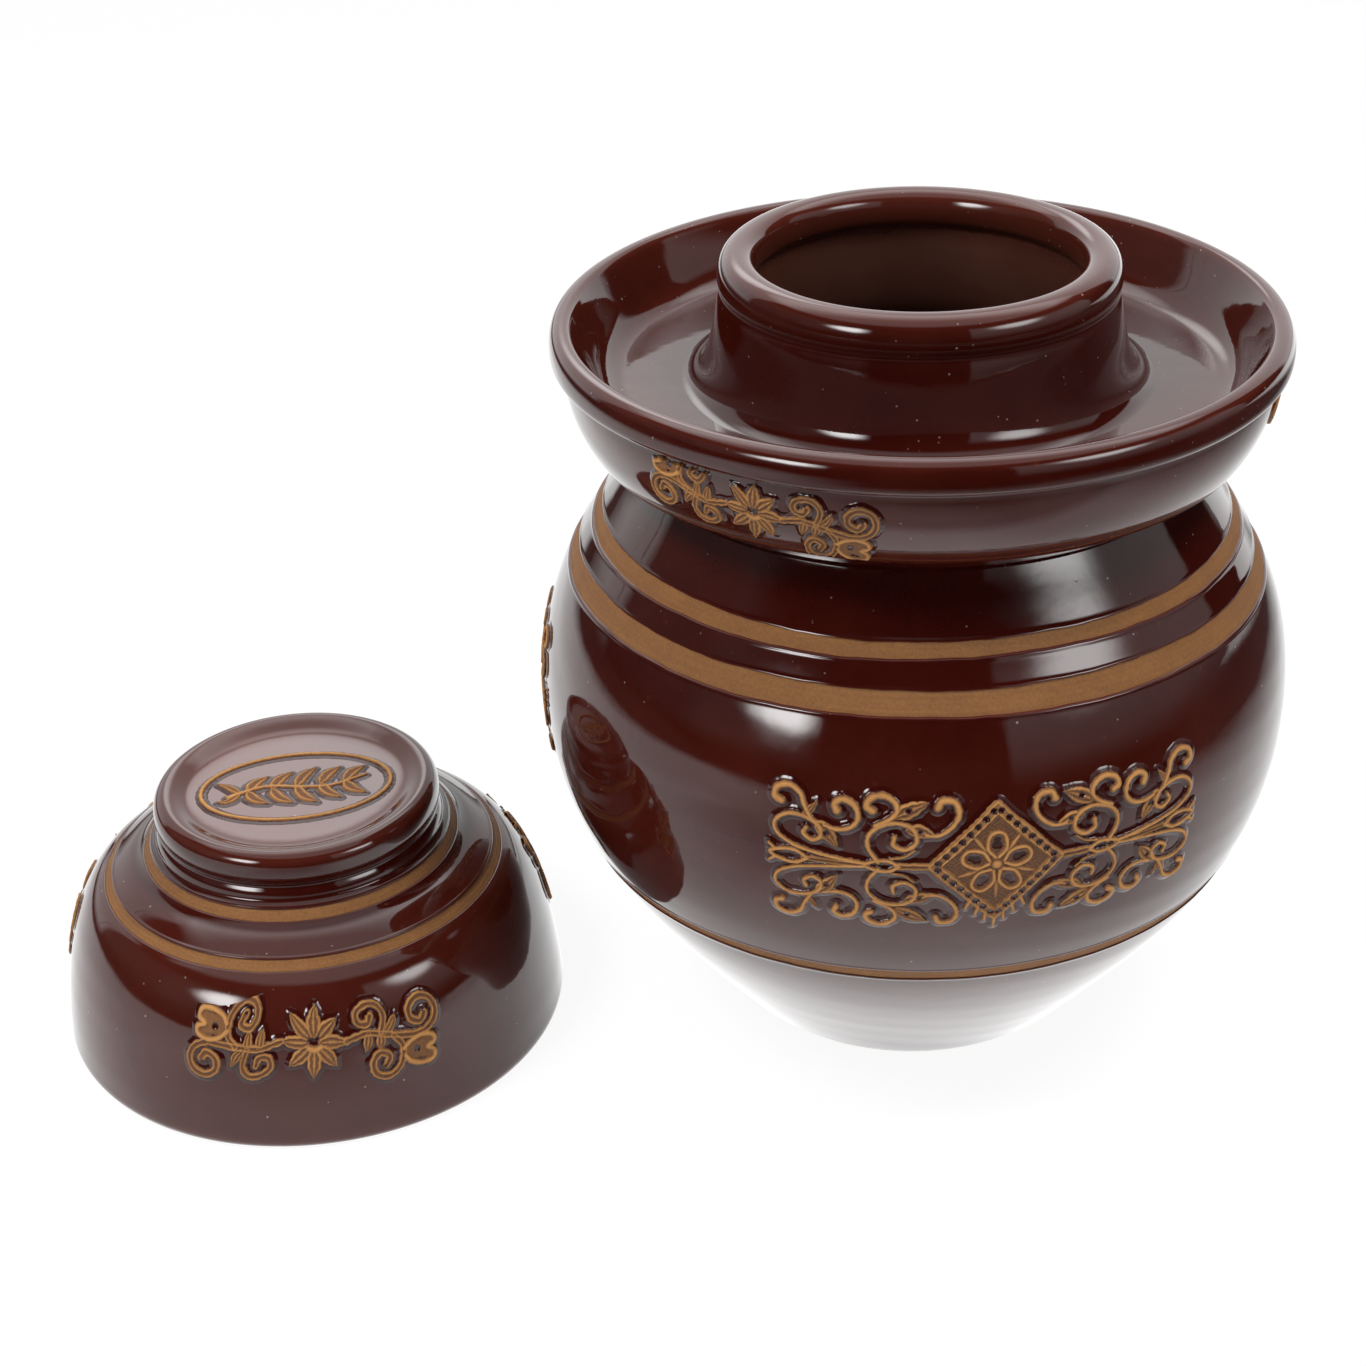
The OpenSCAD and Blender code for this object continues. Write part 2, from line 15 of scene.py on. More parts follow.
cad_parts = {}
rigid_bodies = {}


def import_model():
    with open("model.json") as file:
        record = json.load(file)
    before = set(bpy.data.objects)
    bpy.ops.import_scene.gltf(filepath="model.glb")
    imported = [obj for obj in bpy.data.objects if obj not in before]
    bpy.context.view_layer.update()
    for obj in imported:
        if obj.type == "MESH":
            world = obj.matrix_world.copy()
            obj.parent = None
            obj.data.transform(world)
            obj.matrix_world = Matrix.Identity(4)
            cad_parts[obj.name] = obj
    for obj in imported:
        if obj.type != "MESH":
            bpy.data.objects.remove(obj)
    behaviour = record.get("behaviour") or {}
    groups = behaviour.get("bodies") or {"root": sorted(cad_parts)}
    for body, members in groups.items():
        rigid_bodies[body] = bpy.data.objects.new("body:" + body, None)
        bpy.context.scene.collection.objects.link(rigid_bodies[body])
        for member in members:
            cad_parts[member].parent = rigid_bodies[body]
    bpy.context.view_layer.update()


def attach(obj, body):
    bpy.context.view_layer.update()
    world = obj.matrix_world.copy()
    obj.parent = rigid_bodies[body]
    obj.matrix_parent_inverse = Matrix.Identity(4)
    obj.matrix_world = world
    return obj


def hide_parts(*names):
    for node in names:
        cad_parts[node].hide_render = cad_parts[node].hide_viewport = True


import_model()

LOG = logging.getLogger("pickle_jar")
MM = 0.001
TAU = 2 * math.pi
Pair = tuple[float, float]
Colour = tuple[float, float, float]


# Curves in the plane, in mm


def cubic(a: Pair, b: Pair, c: Pair, d: Pair, steps: int) -> np.ndarray:
    """A cubic curve from a to d with handles b and c, as rows of points."""
    t = np.linspace(0, 1, steps + 1)[:, None]
    a, b, c, d = (np.array(p, float) for p in (a, b, c, d))
    return (1 - t) ** 3 * a + 3 * (1 - t) ** 2 * t * b + 3 * (1 - t) * t**2 * c + t**3 * d


def arc(mid: Pair, radius: float, start: float, stop: float, steps: int) -> np.ndarray:
    """An arc round mid between two angles in degrees, as rows of points."""
    a = np.radians(np.linspace(start, stop, steps + 1))
    return np.array(mid) + radius * np.stack([np.cos(a), np.sin(a)], 1)


def coil(mid: Pair, r0: float, r1: float, start: float, stop: float, steps: int = 14) -> list[Pair]:
    """A spiral round mid from radius r0 to r1, as control points of a stroke."""
    t = np.linspace(0, 1, steps)
    a = np.radians(start + (stop - start) * t)
    r = r0 + (r1 - r0) * t
    return [(mid[0] + q * math.cos(w), mid[1] + q * math.sin(w)) for q, w in zip(r, a)]


def through(points: Sequence[Pair], spacing: float) -> np.ndarray:
    """A smooth line through control points.

    Args:
        points: Control points in order.
        spacing: Distance between the points given back, in mm.
    Returns:
        Rows of points on the line, evenly spaced.
    """
    p = np.array(points, float)
    if len(p) > 2:
        q = np.vstack([2 * p[0] - p[1], p, 2 * p[-1] - p[-2]])
        t = np.linspace(0, 1, 12, endpoint=False)[:, None]
        spans = []
        for a, b, c, d in zip(q, q[1:], q[2:], q[3:]):
            spans.append(0.5 * (2 * b + (c - a) * t + (2 * a - 5 * b + 4 * c - d) * t**2 + (3 * b - a - 3 * c + d) * t**3))
        p = np.vstack(spans + [p[-1:]])
    reach = np.concatenate([[0], np.cumsum(np.linalg.norm(np.diff(p, axis=0), axis=1))])
    marks = np.linspace(0, reach[-1], max(3, int(reach[-1] / spacing) + 2))
    return np.stack([np.interp(marks, reach, p[:, i]) for i in (0, 1)], 1)


def ease(x: np.ndarray, low: float, high: float) -> np.ndarray:
    """0 below low and 1 above high, with a soft step between."""
    t = np.clip((x - low) / (high - low), 0, 1)
    return t * t * (3 - 2 * t)


# What the hand leaves in the clay


@dataclass(frozen=True)
class Waver:
    """Slight unevenness of a wall made by hand, as a sum of waves round the axis and up the wall."""

    seed: int
    slow: float = 0.15
    rings: float = 0.012
    inset: float = 0.26

    def at(self, turn: np.ndarray, z: np.ndarray) -> np.ndarray:
        """How far the wall stands out at a turn in radians and a height, in mm."""
        rng = np.random.default_rng(self.seed)
        out = np.full(np.broadcast(turn, z).shape, -self.inset)
        for _ in range(9):
            k, m = int(rng.integers(1, 6)), rng.uniform(-TAU / 45, TAU / 45)
            out += self.slow / 3 * np.cos(k * turn + m * z + rng.uniform(0, TAU))
        for _ in range(12):
            k, m = int(rng.integers(0, 9)), rng.uniform(TAU / 16, TAU / 7)
            out += self.rings / 3 * np.cos(k * turn + m * z + rng.uniform(0, TAU))
        return out


@dataclass(frozen=True)
class BrushedEdge:
    """One edge of a slip band, where the brush wandered and lapped over its own start."""

    z: float
    seed: int
    lap: float
    step: float = 0.35

    def shift(self, turn: np.ndarray) -> np.ndarray:
        """How far the edge stands above its own height at a turn, in mm."""
        rng = np.random.default_rng(self.seed)
        out = np.zeros_like(turn)
        for k, size in ((2, 0.16), (3, 0.12), (7, 0.08), (17, 0.05), (31, 0.045), (53, 0.035), (88, 0.025)):
            out += size * np.cos(k * turn + rng.uniform(0, TAU))
        round_turn = np.mod(turn - self.lap, TAU)
        return out + self.step * (1 - ease(round_turn, 0, 0.02)) - self.step * 0.5 * ease(round_turn, 5.2, TAU)


@dataclass
class Wall:
    """A turned wall that other pieces lie on.

    Args:
        outline: Rows of radius and height, height rising.
        waver: Unevenness of the wall.
        axis: Place of its axis, in mm.
        edges: Edges of the slip bands in the wall.
    """

    outline: np.ndarray
    waver: Waver
    axis: Pair = (0.0, 0.0)
    edges: tuple[BrushedEdge, ...] = ()

    def radius(self, z: np.ndarray) -> np.ndarray:
        """Radius of the even wall at a height."""
        return np.interp(z, self.outline[:, 1], self.outline[:, 0])

    def rise(self, turn: np.ndarray, z: np.ndarray) -> np.ndarray:
        """How far the bands' wandering edges lift a point that starts at height z."""
        out = np.zeros_like(z)
        for edge in self.edges:
            out += edge.shift(turn) * (1 - ease(np.abs(z - edge.z), 0.5, 1.5))
        return out

    def place(self, turn: np.ndarray, z: np.ndarray, lift: np.ndarray) -> np.ndarray:
        """Points over the wall: at a turn from -Y, a height, and a lift along the wall's normal."""
        slope = (self.radius(z + 0.4) - self.radius(z - 0.4)) / 0.8
        size = np.sqrt(1 + slope**2)
        r = self.radius(z) + self.waver.at(turn, z) + lift / size
        return np.stack([self.axis[0] + r * np.sin(turn), self.axis[1] - r * np.cos(turn), z - lift * slope / size], 1)

    def settle(self, co: np.ndarray) -> np.ndarray:
        """Moves the points of an evenly turned mesh, centred on its axis, to where the hand left them."""
        turn, r, z = np.arctan2(co[:, 0], -co[:, 1]), np.hypot(co[:, 0], co[:, 1]), co[:, 2]
        dz = self.rise(turn, z)
        r2 = r + (self.radius(z + dz) - self.radius(z)) * (np.abs(dz) > 0) + self.waver.at(turn, z) * ease(r, 4, 14)
        return np.stack([self.axis[0] + r2 * np.sin(turn), self.axis[1] - r2 * np.cos(turn), z + dz], 1)


# Reliefs, drawn with strokes


class Style(Enum):
    """Cross section of a raised stroke."""

    ROUND = "round"
    TWIN = "twin"
    PETAL = "petal"
    FLAT = "flat"

    def section(self, u: np.ndarray) -> tuple[np.ndarray, np.ndarray]:
        """Height and brightness across a stroke, where u is 0 on its middle line and 1 at its edge."""
        rim = ease(1 - u, 0, 0.34)
        if self is Style.ROUND:
            return np.sqrt(np.clip(1 - u**2, 0, 1)), 0.14 + 0.86 * ease(1 - u, 0.14, 0.70)
        if self is Style.TWIN:
            crest = np.exp(-(((u - 0.62) / 0.2) ** 2))
            return rim * (0.5 + 0.5 * crest), 0.04 + 0.90 * crest
        if self is Style.PETAL:
            crest = np.maximum(np.exp(-(((u - 0.78) / 0.16) ** 2)), 0.8 * np.exp(-((u / 0.2) ** 2)))
            return rim * (0.42 + 0.58 * crest), 0.03 + 0.93 * crest
        return rim * 0.85, 0.5 * np.ones_like(u)


@dataclass(frozen=True)
class Stroke:
    """One raised stroke: its control points, half width at both ends, and its cross section."""

    path: tuple[Pair, ...]
    half: float
    end_half: float
    style: Style = Style.ROUND
    almond: bool = False
    level: float = 1.0

    def laid(self) -> tuple[np.ndarray, np.ndarray]:
        """Closely spaced points of the stroke and its half width at each."""
        points = through(self.path, 0.12)
        t = np.linspace(0, 1, len(points))
        half = self.half + (self.end_half - self.half) * t
        x, y = points.T
        half = half * (1 + 0.09 * np.sin(1.9 * x + 2.6 * y) + 0.06 * np.sin(4.4 * y - 3.7 * x))
        if self.almond:
            half = half * np.sin(math.pi * np.clip(t, 0.02, 0.98) ** 0.8) + 0.12
        return points, half

    def turned(self, angle: float) -> "Stroke":
        """The stroke turned round the drawing's middle by an angle in degrees."""
        c, s = math.cos(math.radians(angle)), math.sin(math.radians(angle))
        path = tuple((x * c - y * s, x * s + y * c) for x, y in self.path)
        return Stroke(path, self.half, self.end_half, self.style, self.almond, self.level)

    def scaled(self, sx: float, sy: float, width: float = 1.0) -> "Stroke":
        """The stroke scaled, or mirrored with a negative scale."""
        path = tuple((x * sx, y * sy) for x, y in self.path)
        return Stroke(path, self.half * width, self.end_half * width, self.style, self.almond, self.level)


@dataclass
class Drawing:
    """A relief's drawing: strokes, holes through which the glaze shows, and a roughened ground."""

    strokes: list[Stroke] = field(default_factory=list)
    holes: list[tuple[float, float, float]] = field(default_factory=list)
    ground: float = 0.0

    def carve(self, xy: np.ndarray) -> tuple[np.ndarray, np.ndarray, np.ndarray]:
        """Reads the drawing at points.

        Args:
            xy: Rows of places in the drawing, in mm.
        Returns:
            Distance outside the nearest stroke, height as a share of the relief, and brightness.
        """
        away, height, bright = np.full(len(xy), 9.0), np.zeros(len(xy)), np.zeros(len(xy))
        if self.ground:
            reach = (np.abs(xy[:, 0]) + np.abs(xy[:, 1]) - self.ground) / math.sqrt(2)
            away = np.minimum(away, reach)
            hatch = np.sin(5.2 * xy[:, 0] + 1.2 * np.sin(xy[:, 1] * 1.7)) * np.sin(6.4 * xy[:, 1] + 1.3 * np.sin(xy[:, 0] * 2.1))
            pimples = ease(hatch, -0.2, 0.9)
            height = np.where(reach < 0, 0.10 + 0.16 * pimples, 0)
            bright = np.where(reach < 0, 0.34 * pimples, 0)
        for stroke in self.strokes:
            points, half = stroke.laid()
            margin = half.max() + 3
            box = (xy > points.min(0) - margin) & (xy < points.max(0) + margin)
            near = np.flatnonzero(box.all(1))
            for part in np.array_split(near, 1 + near.size * len(points) // 3_000_000):
                gaps = np.hypot(xy[part, None, 0] - points[None, :, 0], xy[part, None, 1] - points[None, :, 1]) - half
                k = gaps.argmin(1)
                gap = gaps[np.arange(len(part)), k]
                away[part] = np.minimum(away[part], gap)
                inside = gap < 0
                rows = part[inside]
                h, b = stroke.style.section(1 + gap[inside] / half[k[inside]])
                h = h * stroke.level
                top = h >= height[rows]
                bright[rows] = np.where(top, b * stroke.level, bright[rows])
                height[rows] = np.maximum(h, height[rows])
        for x, y, r in self.holes:
            d = np.hypot(xy[:, 0] - x, xy[:, 1] - y)
            inside = 1 - ease(d, r * 0.75, r * 1.2)
            height *= 1 - 0.9 * inside
            bright *= 1 - inside
            away = np.where(d < r, np.maximum(away, 0.4 * inside), away)
        return away, height, bright


def daisy_spray() -> Drawing:
    """A daisy between two sprays of scrolls. The left spray is the right one turned half round."""
    draw = Drawing()
    for i, tip in enumerate((9.4, 8.4, 8.9, 9.5, 8.6, 9.0, 9.4, 8.7)):
        petal = Stroke(((1.4, 0), (4.6, 0.2), (tip, 0)), 1.75, 1.75, Style.PETAL, almond=True)
        draw.strokes.append(petal.turned(i * 45 - 7))
    draw.strokes.append(Stroke(((-1.5, -1.3), (0.1, -1.9), (1.7, -1.3)), 1.0, 1.0, level=0.95))
    draw.holes += [(-0.9, 0.6, 0.8), (1.0, 0.9, 0.6)]
    half_spray = [
        Stroke(((8.6, -0.9), (11.5, -0.3), (14.75, 0), (19.75, -1.5), (24.75, -3.1), (29.25, -3.7), (33.0, -2.2), (34.6, 0.75),
                (33.5, 3.9), (30.2, 5.1), (27.2, 3.4), (27.1, 0.5), (29.6, -0.9), (31.2, 0.7)), 1.0, 1.2, Style.TWIN),
        Stroke(((18.2, -0.6), (19.6, 3.2), (18.25, 6.1), (15.25, 6.9), (12.2, 5.5), (12.4, 2.9), (14.9, 2.3), (15.9, 4.0)), 0.95, 1.1,
               Style.TWIN),
        Stroke(((21.4, -2.2), (23.4, -5.25), (22.9, -9.0), (21.1, -11.4), (18.25, -12.5), (15.4, -11.1), (14.9, -8.1),
                (17.0, -5.8), (19.5, -7.2), (18.3, -9.4)), 1.0, 1.15, Style.TWIN),
        Stroke(((14.8, 0.2), (14.4, -2.2), (13.5, -4.9)), 1.25, 1.25, Style.PETAL, almond=True),
        Stroke(((18.0, -0.5), (17.9, -2.7), (17.2, -5.2)), 1.2, 1.2, Style.PETAL, almond=True),
        Stroke(((19.2, -1), (21.1, 0.3), (22.8, 2.9)), 1.2, 1.2, Style.PETAL, almond=True),
        Stroke(((24.6, -7.2), (27.6, -7.5), (30.6, -6.2)), 2.3, 1.3, Style.FLAT, level=0.42),
        Stroke(((25.0, -8.4), (27.8, -9.0), (30.4, -10.2)), 1.9, 1.1, Style.FLAT, level=0.42),
        Stroke(((23.6, -6.4), (25.9, -5.0), (29.2, -4.4), (32.1, -5.4), (32.4, -7.2), (30.2, -8.2), (31.9, -9.6), (31.2, -11.6),
                (28.0, -11.8), (25.0, -10.4), (23.7, -8.4)), 0.85, 0.85),
    ]
    for stroke in half_spray:
        draw.strokes += [stroke, stroke.turned(180)]
    for x, y, r in ((27.2, -7.7, 0.95), (30.9, 1.6, 0.5), (15.1, 4.9, 0.45), (18.0, -9.6, 0.45)):
        draw.holes += [(x, y, r), (-x, -y, r)]
    return draw


def lozenge_spray() -> Drawing:
    """A beaded lozenge round a blossom, between scrolls that mirror each other left and right and up and down."""
    draw = Drawing(ground=14.4)
    half, side = 14.6, Style.FLAT
    corners = ((half, 0), (0, half), (-half, 0), (0, -half), (half, 0))
    for a, b in zip(corners, corners[1:]):
        draw.strokes.append(Stroke((a, b), 1.55, 1.55, side, level=0.75))
        for share in (-1, 1):
            edge = [(x * (1 + share * 0.088), y * (1 + share * 0.088)) for x, y in (a, b)]
            draw.strokes.append(Stroke(tuple(edge), 0.36, 0.36))
        for i in range(8):
            t = (i + 0.5) / 8
            draw.holes.append((a[0] + (b[0] - a[0]) * t, a[1] + (b[1] - a[1]) * t, 0.86))
    for i in range(5):
        angle = 90 + i * 72
        petal = ((1.9, -0.4), (4.2, -2.2), (7.4, -1.8), (8.4, 0), (7.4, 1.8), (4.2, 2.2), (1.9, 0.4))
        draw.strokes.append(Stroke(petal, 0.55, 0.55).turned(angle))
        draw.strokes.append(Stroke(((4.6, 0), (9.6, 0)), 0.5, 0.5, almond=True, level=0.8).turned(angle + 36))
        c, w = math.cos(math.radians(angle)), math.sin(math.radians(angle))
        draw.holes += [(5.0 * c, 5.0 * w, 1.25), (6.4 * c, 6.4 * w, 0.9)]
    draw.strokes.append(Stroke(((-0.1, 0), (0.1, 0)), 1.5, 1.5))
    for i in range(-3, 4):
        foot = abs(i) * 2.0 - 16.2
        draw.strokes.append(Stroke(((i * 2.0, foot + 0.4), (i * 2.35, foot - 2.1)), 0.55, 0.4))
    right_upper = [
        Stroke(((27.4, 0.9), (29.6, 4.2), (29.9, 7.4), (27.6, 10.1), (23.4, 11.3), (19.6, 9.9), (18.7, 6.6), (21.2, 4.6),
                (23.9, 5.6), (23.8, 7.7)), 0.72, 0.8),
        Stroke(((16.6, 8.4), (13.6, 8.3), (10.6, 10.3), (9.0, 13.4), (10.0, 16.3), (12.9, 16.7), (13.9, 15.0)), 0.55, 1.2),
        Stroke(((28.4, 10.4), (25.2, 12.0), (23.4, 14.0), (23.9, 16.3), (26.6, 17.8), (29.5, 17.0), (30.4, 15.0), (28.9, 14.0)), 0.7, 1.2),
        Stroke(((23.7, 12.6), (20.6, 14.3), (16.2, 16.3)), 2.0, 2.0, Style.PETAL, almond=True),
        Stroke(((21.0, 9.7), (17.8, 9.2), (14.2, 7.9)), 1.7, 1.7, Style.PETAL, almond=True),
        Stroke(((24.6, 2.0), (21.6, 2.6), (19.2, 4.4)), 0.45, 0.4, level=0.8),
        Stroke(((30.6, 0.4), (36, 1.0), (42, 1.9), (47.5, 3.2), (51.4, 5.6), (52, 8.6), (49, 11), (44.8, 10.9), (41.6, 9.2),
                (40.8, 6.6), (42.9, 5.2), (45, 6.6), (44.4, 8.2)), 0.66, 0.8),
        Stroke(((40.2, 9.4), (37.0, 8.7), (33.9, 9.6), (32.3, 12.0), (33.2, 15.0), (35.9, 16.3), (37.9, 15.1), (37.3, 13.4)), 0.6, 1.2),
        Stroke(((43.4, 10.8), (45.0, 13.6), (46.2, 16.4), (49.0, 18.0), (51.9, 17.0), (52.3, 14.8), (50.6, 13.9)), 0.7, 1.2),
        Stroke(((42.2, 9.9), (39.4, 7.2), (36.9, 3.9)), 1.9, 1.9, Style.PETAL, almond=True),
        Stroke(((45.4, 11.0), (43.6, 12.8), (42.0, 15.0)), 0.9, 0.9, Style.PETAL, almond=True),
    ]
    for stroke in right_upper:
        for sx, sy, width in ((1, 1, 0.84), (-1, 1, 0.88), (1, -0.95, 0.76), (-1, -0.97, 0.74)):
            draw.strokes.append(stroke.scaled(sx, sy, width))
    for sx in (1, -1):
        draw.strokes += [
            Stroke(((16, 0), (23, 0)), 0.95, 0.95, Style.TWIN).scaled(sx, 1),
            Stroke(((22.6, 0), (25, 1.35), (28, 1.2), (30.6, 0), (28, -1.2), (25, -1.35), (22.6, 0)), 0.55, 0.55).scaled(sx, 1),
            Stroke(((30, 0), (38, 0), (45, 0)), 0.8, 0.7, Style.TWIN).scaled(sx, 1),
            Stroke(((44, 0), (47, 1.7), (50.6, 1.4), (53.2, 0), (50.6, -1.4), (47, -1.7), (44, 0)), 0.6, 0.6).scaled(sx, 1),
            Stroke(((51.8, 1.0), (53.6, 2.4)), 0.6, 0.4).scaled(sx, 1),
            Stroke(((51.8, -1.0), (53.6, -2.4)), 0.6, 0.4).scaled(sx, 1),
        ]
        draw.holes += [(sx * x, y, r) for x, y, r in ((20.6, 14.3, 0.8), (39.6, 7.4, 0.75), (20.6, -13.7, 0.7),
                                                             (39.6, -7.0, 0.65), (17.8, 9.2, 0.6), (17.8, -8.9, 0.55))]
    return draw


def leafy_oval(length: float, breadth: float) -> Drawing:
    """An oval line round a leafy twig."""
    a, b = length / 2 - 0.9, breadth / 2 - 0.9
    ring = tuple((a * math.cos(w), b * math.sin(w)) for w in np.linspace(0, TAU, 41))
    draw = Drawing([Stroke(ring, 0.72, 0.72)])
    draw.strokes.append(Stroke(((-18, -2.6), (-8, 1.0), (2, -0.9), (10, -1.2), (18.5, 2.6)), 0.75, 0.5))
    for i in range(-2, 3):
        foot = (i * 6.4, 0.25 * i - 0.3)
        for side in (1, -1):
            tip = (foot[0] + 5.4, foot[1] + side * (8.6 - abs(i)))
            bend = (foot[0] + 2.0, foot[1] + side * (5.0 - abs(i) * 0.5))
            draw.strokes.append(Stroke((foot, bend, tip), 1.7, 1.7, Style.TWIN, almond=True))
    for side in (1, -1):
        draw.strokes.append(Stroke(((-14.6, -1.2), (-18, side * 3.6 - 1), (-20.6, side * 4.4)), 1.0, 1.0, Style.TWIN, almond=True))
    return draw


# Meshes


def to_object(bm: bmesh.types.BMesh, name: str, move: Callable[[np.ndarray], np.ndarray], sharp: float = 55) -> bpy.types.Object:
    """Turns a bmesh in mm into an object in metres.

    Args:
        bm: The mesh, which is freed.
        name: Name of the piece.
        move: Moves the rows of points to their place, in mm.
        sharp: Angle in degrees past which an edge is shown sharp.
    Returns:
        The object, standing at the origin with its place in its mesh.
    """
    mesh = bpy.data.meshes.new(name)
    bm.to_mesh(mesh)
    bm.free()
    co = np.zeros(len(mesh.vertices) * 3, np.float32)
    mesh.vertices.foreach_get("co", co)
    placed = move(co.reshape(-1, 3).astype(float)) * MM
    mesh.vertices.foreach_set("co", placed.astype(np.float32).ravel())
    mesh.update()
    mesh.shade_smooth()
    mesh.set_sharp_from_angle(angle=math.radians(sharp))
    obj = bpy.data.objects.new(name, mesh)
    bpy.context.scene.collection.objects.link(obj)
    return obj


def turned(outline: np.ndarray, closed: bool, steps: int, marks: dict[str, np.ndarray]) -> bmesh.types.BMesh:
    """Spins an outline round the axis: an eighth of the turn first, which is then doubled three times.

    Args:
        outline: Rows of radius and height.
        closed: Whether the last point joins the first.
        steps: Steps round the axis, a multiple of 8.
        marks: Named values for each point of the outline, kept as attributes.
    Returns:
        The turned mesh, in mm.
    """
    bm = bmesh.new()
    layers = {name: bm.verts.layers.float.new(name) for name in marks}
    verts = []
    for i, (r, z) in enumerate(outline):
        v = bm.verts.new((0, -max(r, 0), z))
        for name, layer in layers.items():
            v[layer] = float(marks[name][i])
        verts.append(v)
    pairs = list(zip(verts, verts[1:])) + ([(verts[-1], verts[0])] if closed else [])
    edges = [bm.edges.new(p) for p in pairs]
    bmesh.ops.spin(bm, geom=verts + edges, cent=(0, 0, 0), axis=(0, 0, 1), angle=TAU / 8, steps=steps // 8, use_merge=False,
                   use_duplicate=False)
    for share in (8, 4, 2):
        copy = bmesh.ops.duplicate(bm, geom=[*bm.verts, *bm.edges, *bm.faces])["geom"]
        fresh = [g for g in copy if isinstance(g, bmesh.types.BMVert)]
        bmesh.ops.rotate(bm, verts=fresh, cent=(0, 0, 0), matrix=Matrix.Rotation(TAU / share, 3, "Z"))
    bmesh.ops.remove_doubles(bm, verts=bm.verts, dist=1e-4)
    bmesh.ops.recalc_face_normals(bm, faces=bm.faces)
    return bm


def relief_sheet(draw: Drawing, size: Pair, middle: Pair, cell: float, full: float) -> bmesh.types.BMesh:
    """A fine flat sheet that carries a relief: x and y are the drawing's, z is the lift over the wall.

    Args:
        draw: The drawing.
        size: Length and breadth of the sheet.
        middle: Middle of the sheet in the drawing.
        cell: Size of the sheet's cells.
        full: Height of a full stroke over its bed.
    Returns:
        The sheet without the cells that carry nothing, with slip and ridge attributes.
    """
    bm = bmesh.new()
    nx, ny = int(size[0] / cell), int(size[1] / cell)
    bmesh.ops.create_grid(bm, x_segments=nx, y_segments=ny, size=0.5)
    bmesh.ops.scale(bm, vec=(size[0], size[1], 1), verts=bm.verts)
    bmesh.ops.translate(bm, vec=(middle[0], middle[1], 0), verts=bm.verts)
    slip, ridge = bm.verts.layers.float.new("slip"), bm.verts.layers.float.new("ridge")
    xy = np.array([(v.co.x, v.co.y) for v in bm.verts])
    away, height, bright = draw.carve(xy)
    bed = BED * (1 - ease(away, 0.05, 1.5)) - SUNK * ease(away, 0.9, 1.7)
    lift = bed + full * height
    cover = 1 - ease(away, -0.12, 0.10)
    for v, z, s, b in zip(bm.verts, lift, cover, bright):
        v.co.z = z
        v[slip] = s
        v[ridge] = b
    bm.verts.ensure_lookup_table()
    bmesh.ops.delete(bm, geom=[bm.verts[int(i)] for i in np.flatnonzero(away > 1.9)], context="VERTS")
    rim = [e for e in bm.edges if e.is_boundary]
    skirt = bmesh.ops.extrude_edge_only(bm, edges=rim)["geom"]
    bmesh.ops.translate(bm, vec=(0, 0, -0.5), verts=[g for g in skirt if isinstance(g, bmesh.types.BMVert)])
    bmesh.ops.recalc_face_normals(bm, faces=bm.faces)
    return bm


BED = 0.28
SUNK = 0.16


# Finishes


class Graph:
    """A node tree with short ways to add and link nodes."""

    def __init__(self, tree: bpy.types.NodeTree) -> None:
        """Keeps the tree."""
        self.tree = tree

    def add(self, kind: str, values: dict[str, object] | None = None, **props: object) -> bpy.types.Node:
        """Adds a node, sets its properties, and sets or links its inputs."""
        node = self.tree.nodes.new(kind)
        for key, value in props.items():
            setattr(node, key, value)
        for key, value in (values or {}).items():
            socket = node.inputs[int(key)] if key.isdigit() else node.inputs[key]
            if isinstance(value, bpy.types.NodeSocket):
                self.tree.links.new(value, socket)
            else:
                socket.default_value = value
        return node

    def maths(self, operation: str, a: object, b: object = 0.0, clamp: bool = False) -> bpy.types.NodeSocket:
        """A Math node's value."""
        return self.add("ShaderNodeMath", {"0": a, "1": b}, operation=operation, use_clamp=clamp).outputs[0]

    def span(self, value: bpy.types.NodeSocket, low: float, high: float, to_low: float = 0.0, to_high: float = 1.0) -> bpy.types.NodeSocket:
        """Maps a value from one range to another, held at both ends."""
        values = {"Value": value, "From Min": low, "From Max": high, "To Min": to_low, "To Max": to_high}
        return self.add("ShaderNodeMapRange", values).outputs["Result"]

    def blend(self, factor: object, a: object, b: object) -> bpy.types.NodeSocket:
        """A mix of two colours."""
        a = (*a, 1.0) if isinstance(a, tuple) else a
        b = (*b, 1.0) if isinstance(b, tuple) else b
        node = self.add("ShaderNodeMix", {"0": factor, "6": a, "7": b}, data_type="RGBA")
        return node.outputs[2]

    def noise(self, coords: bpy.types.NodeSocket, scale: float, detail: float = 2.0, rough: float = 0.5, twist: float = 0.0) -> bpy.types.NodeSocket:
        """A noise texture's value."""
        values = {"Vector": coords, "Scale": scale, "Detail": detail, "Roughness": rough, "Distortion": twist}
        return self.add("ShaderNodeTexNoise", values).outputs[0]

    def objects(self) -> bpy.types.NodeSocket:
        """Object coordinates."""
        return self.add("ShaderNodeTexCoord").outputs["Object"]

    def mark(self, name: str) -> bpy.types.NodeSocket:
        """A named value of the mesh."""
        return self.add("ShaderNodeAttribute", attribute_name=name).outputs["Fac"]


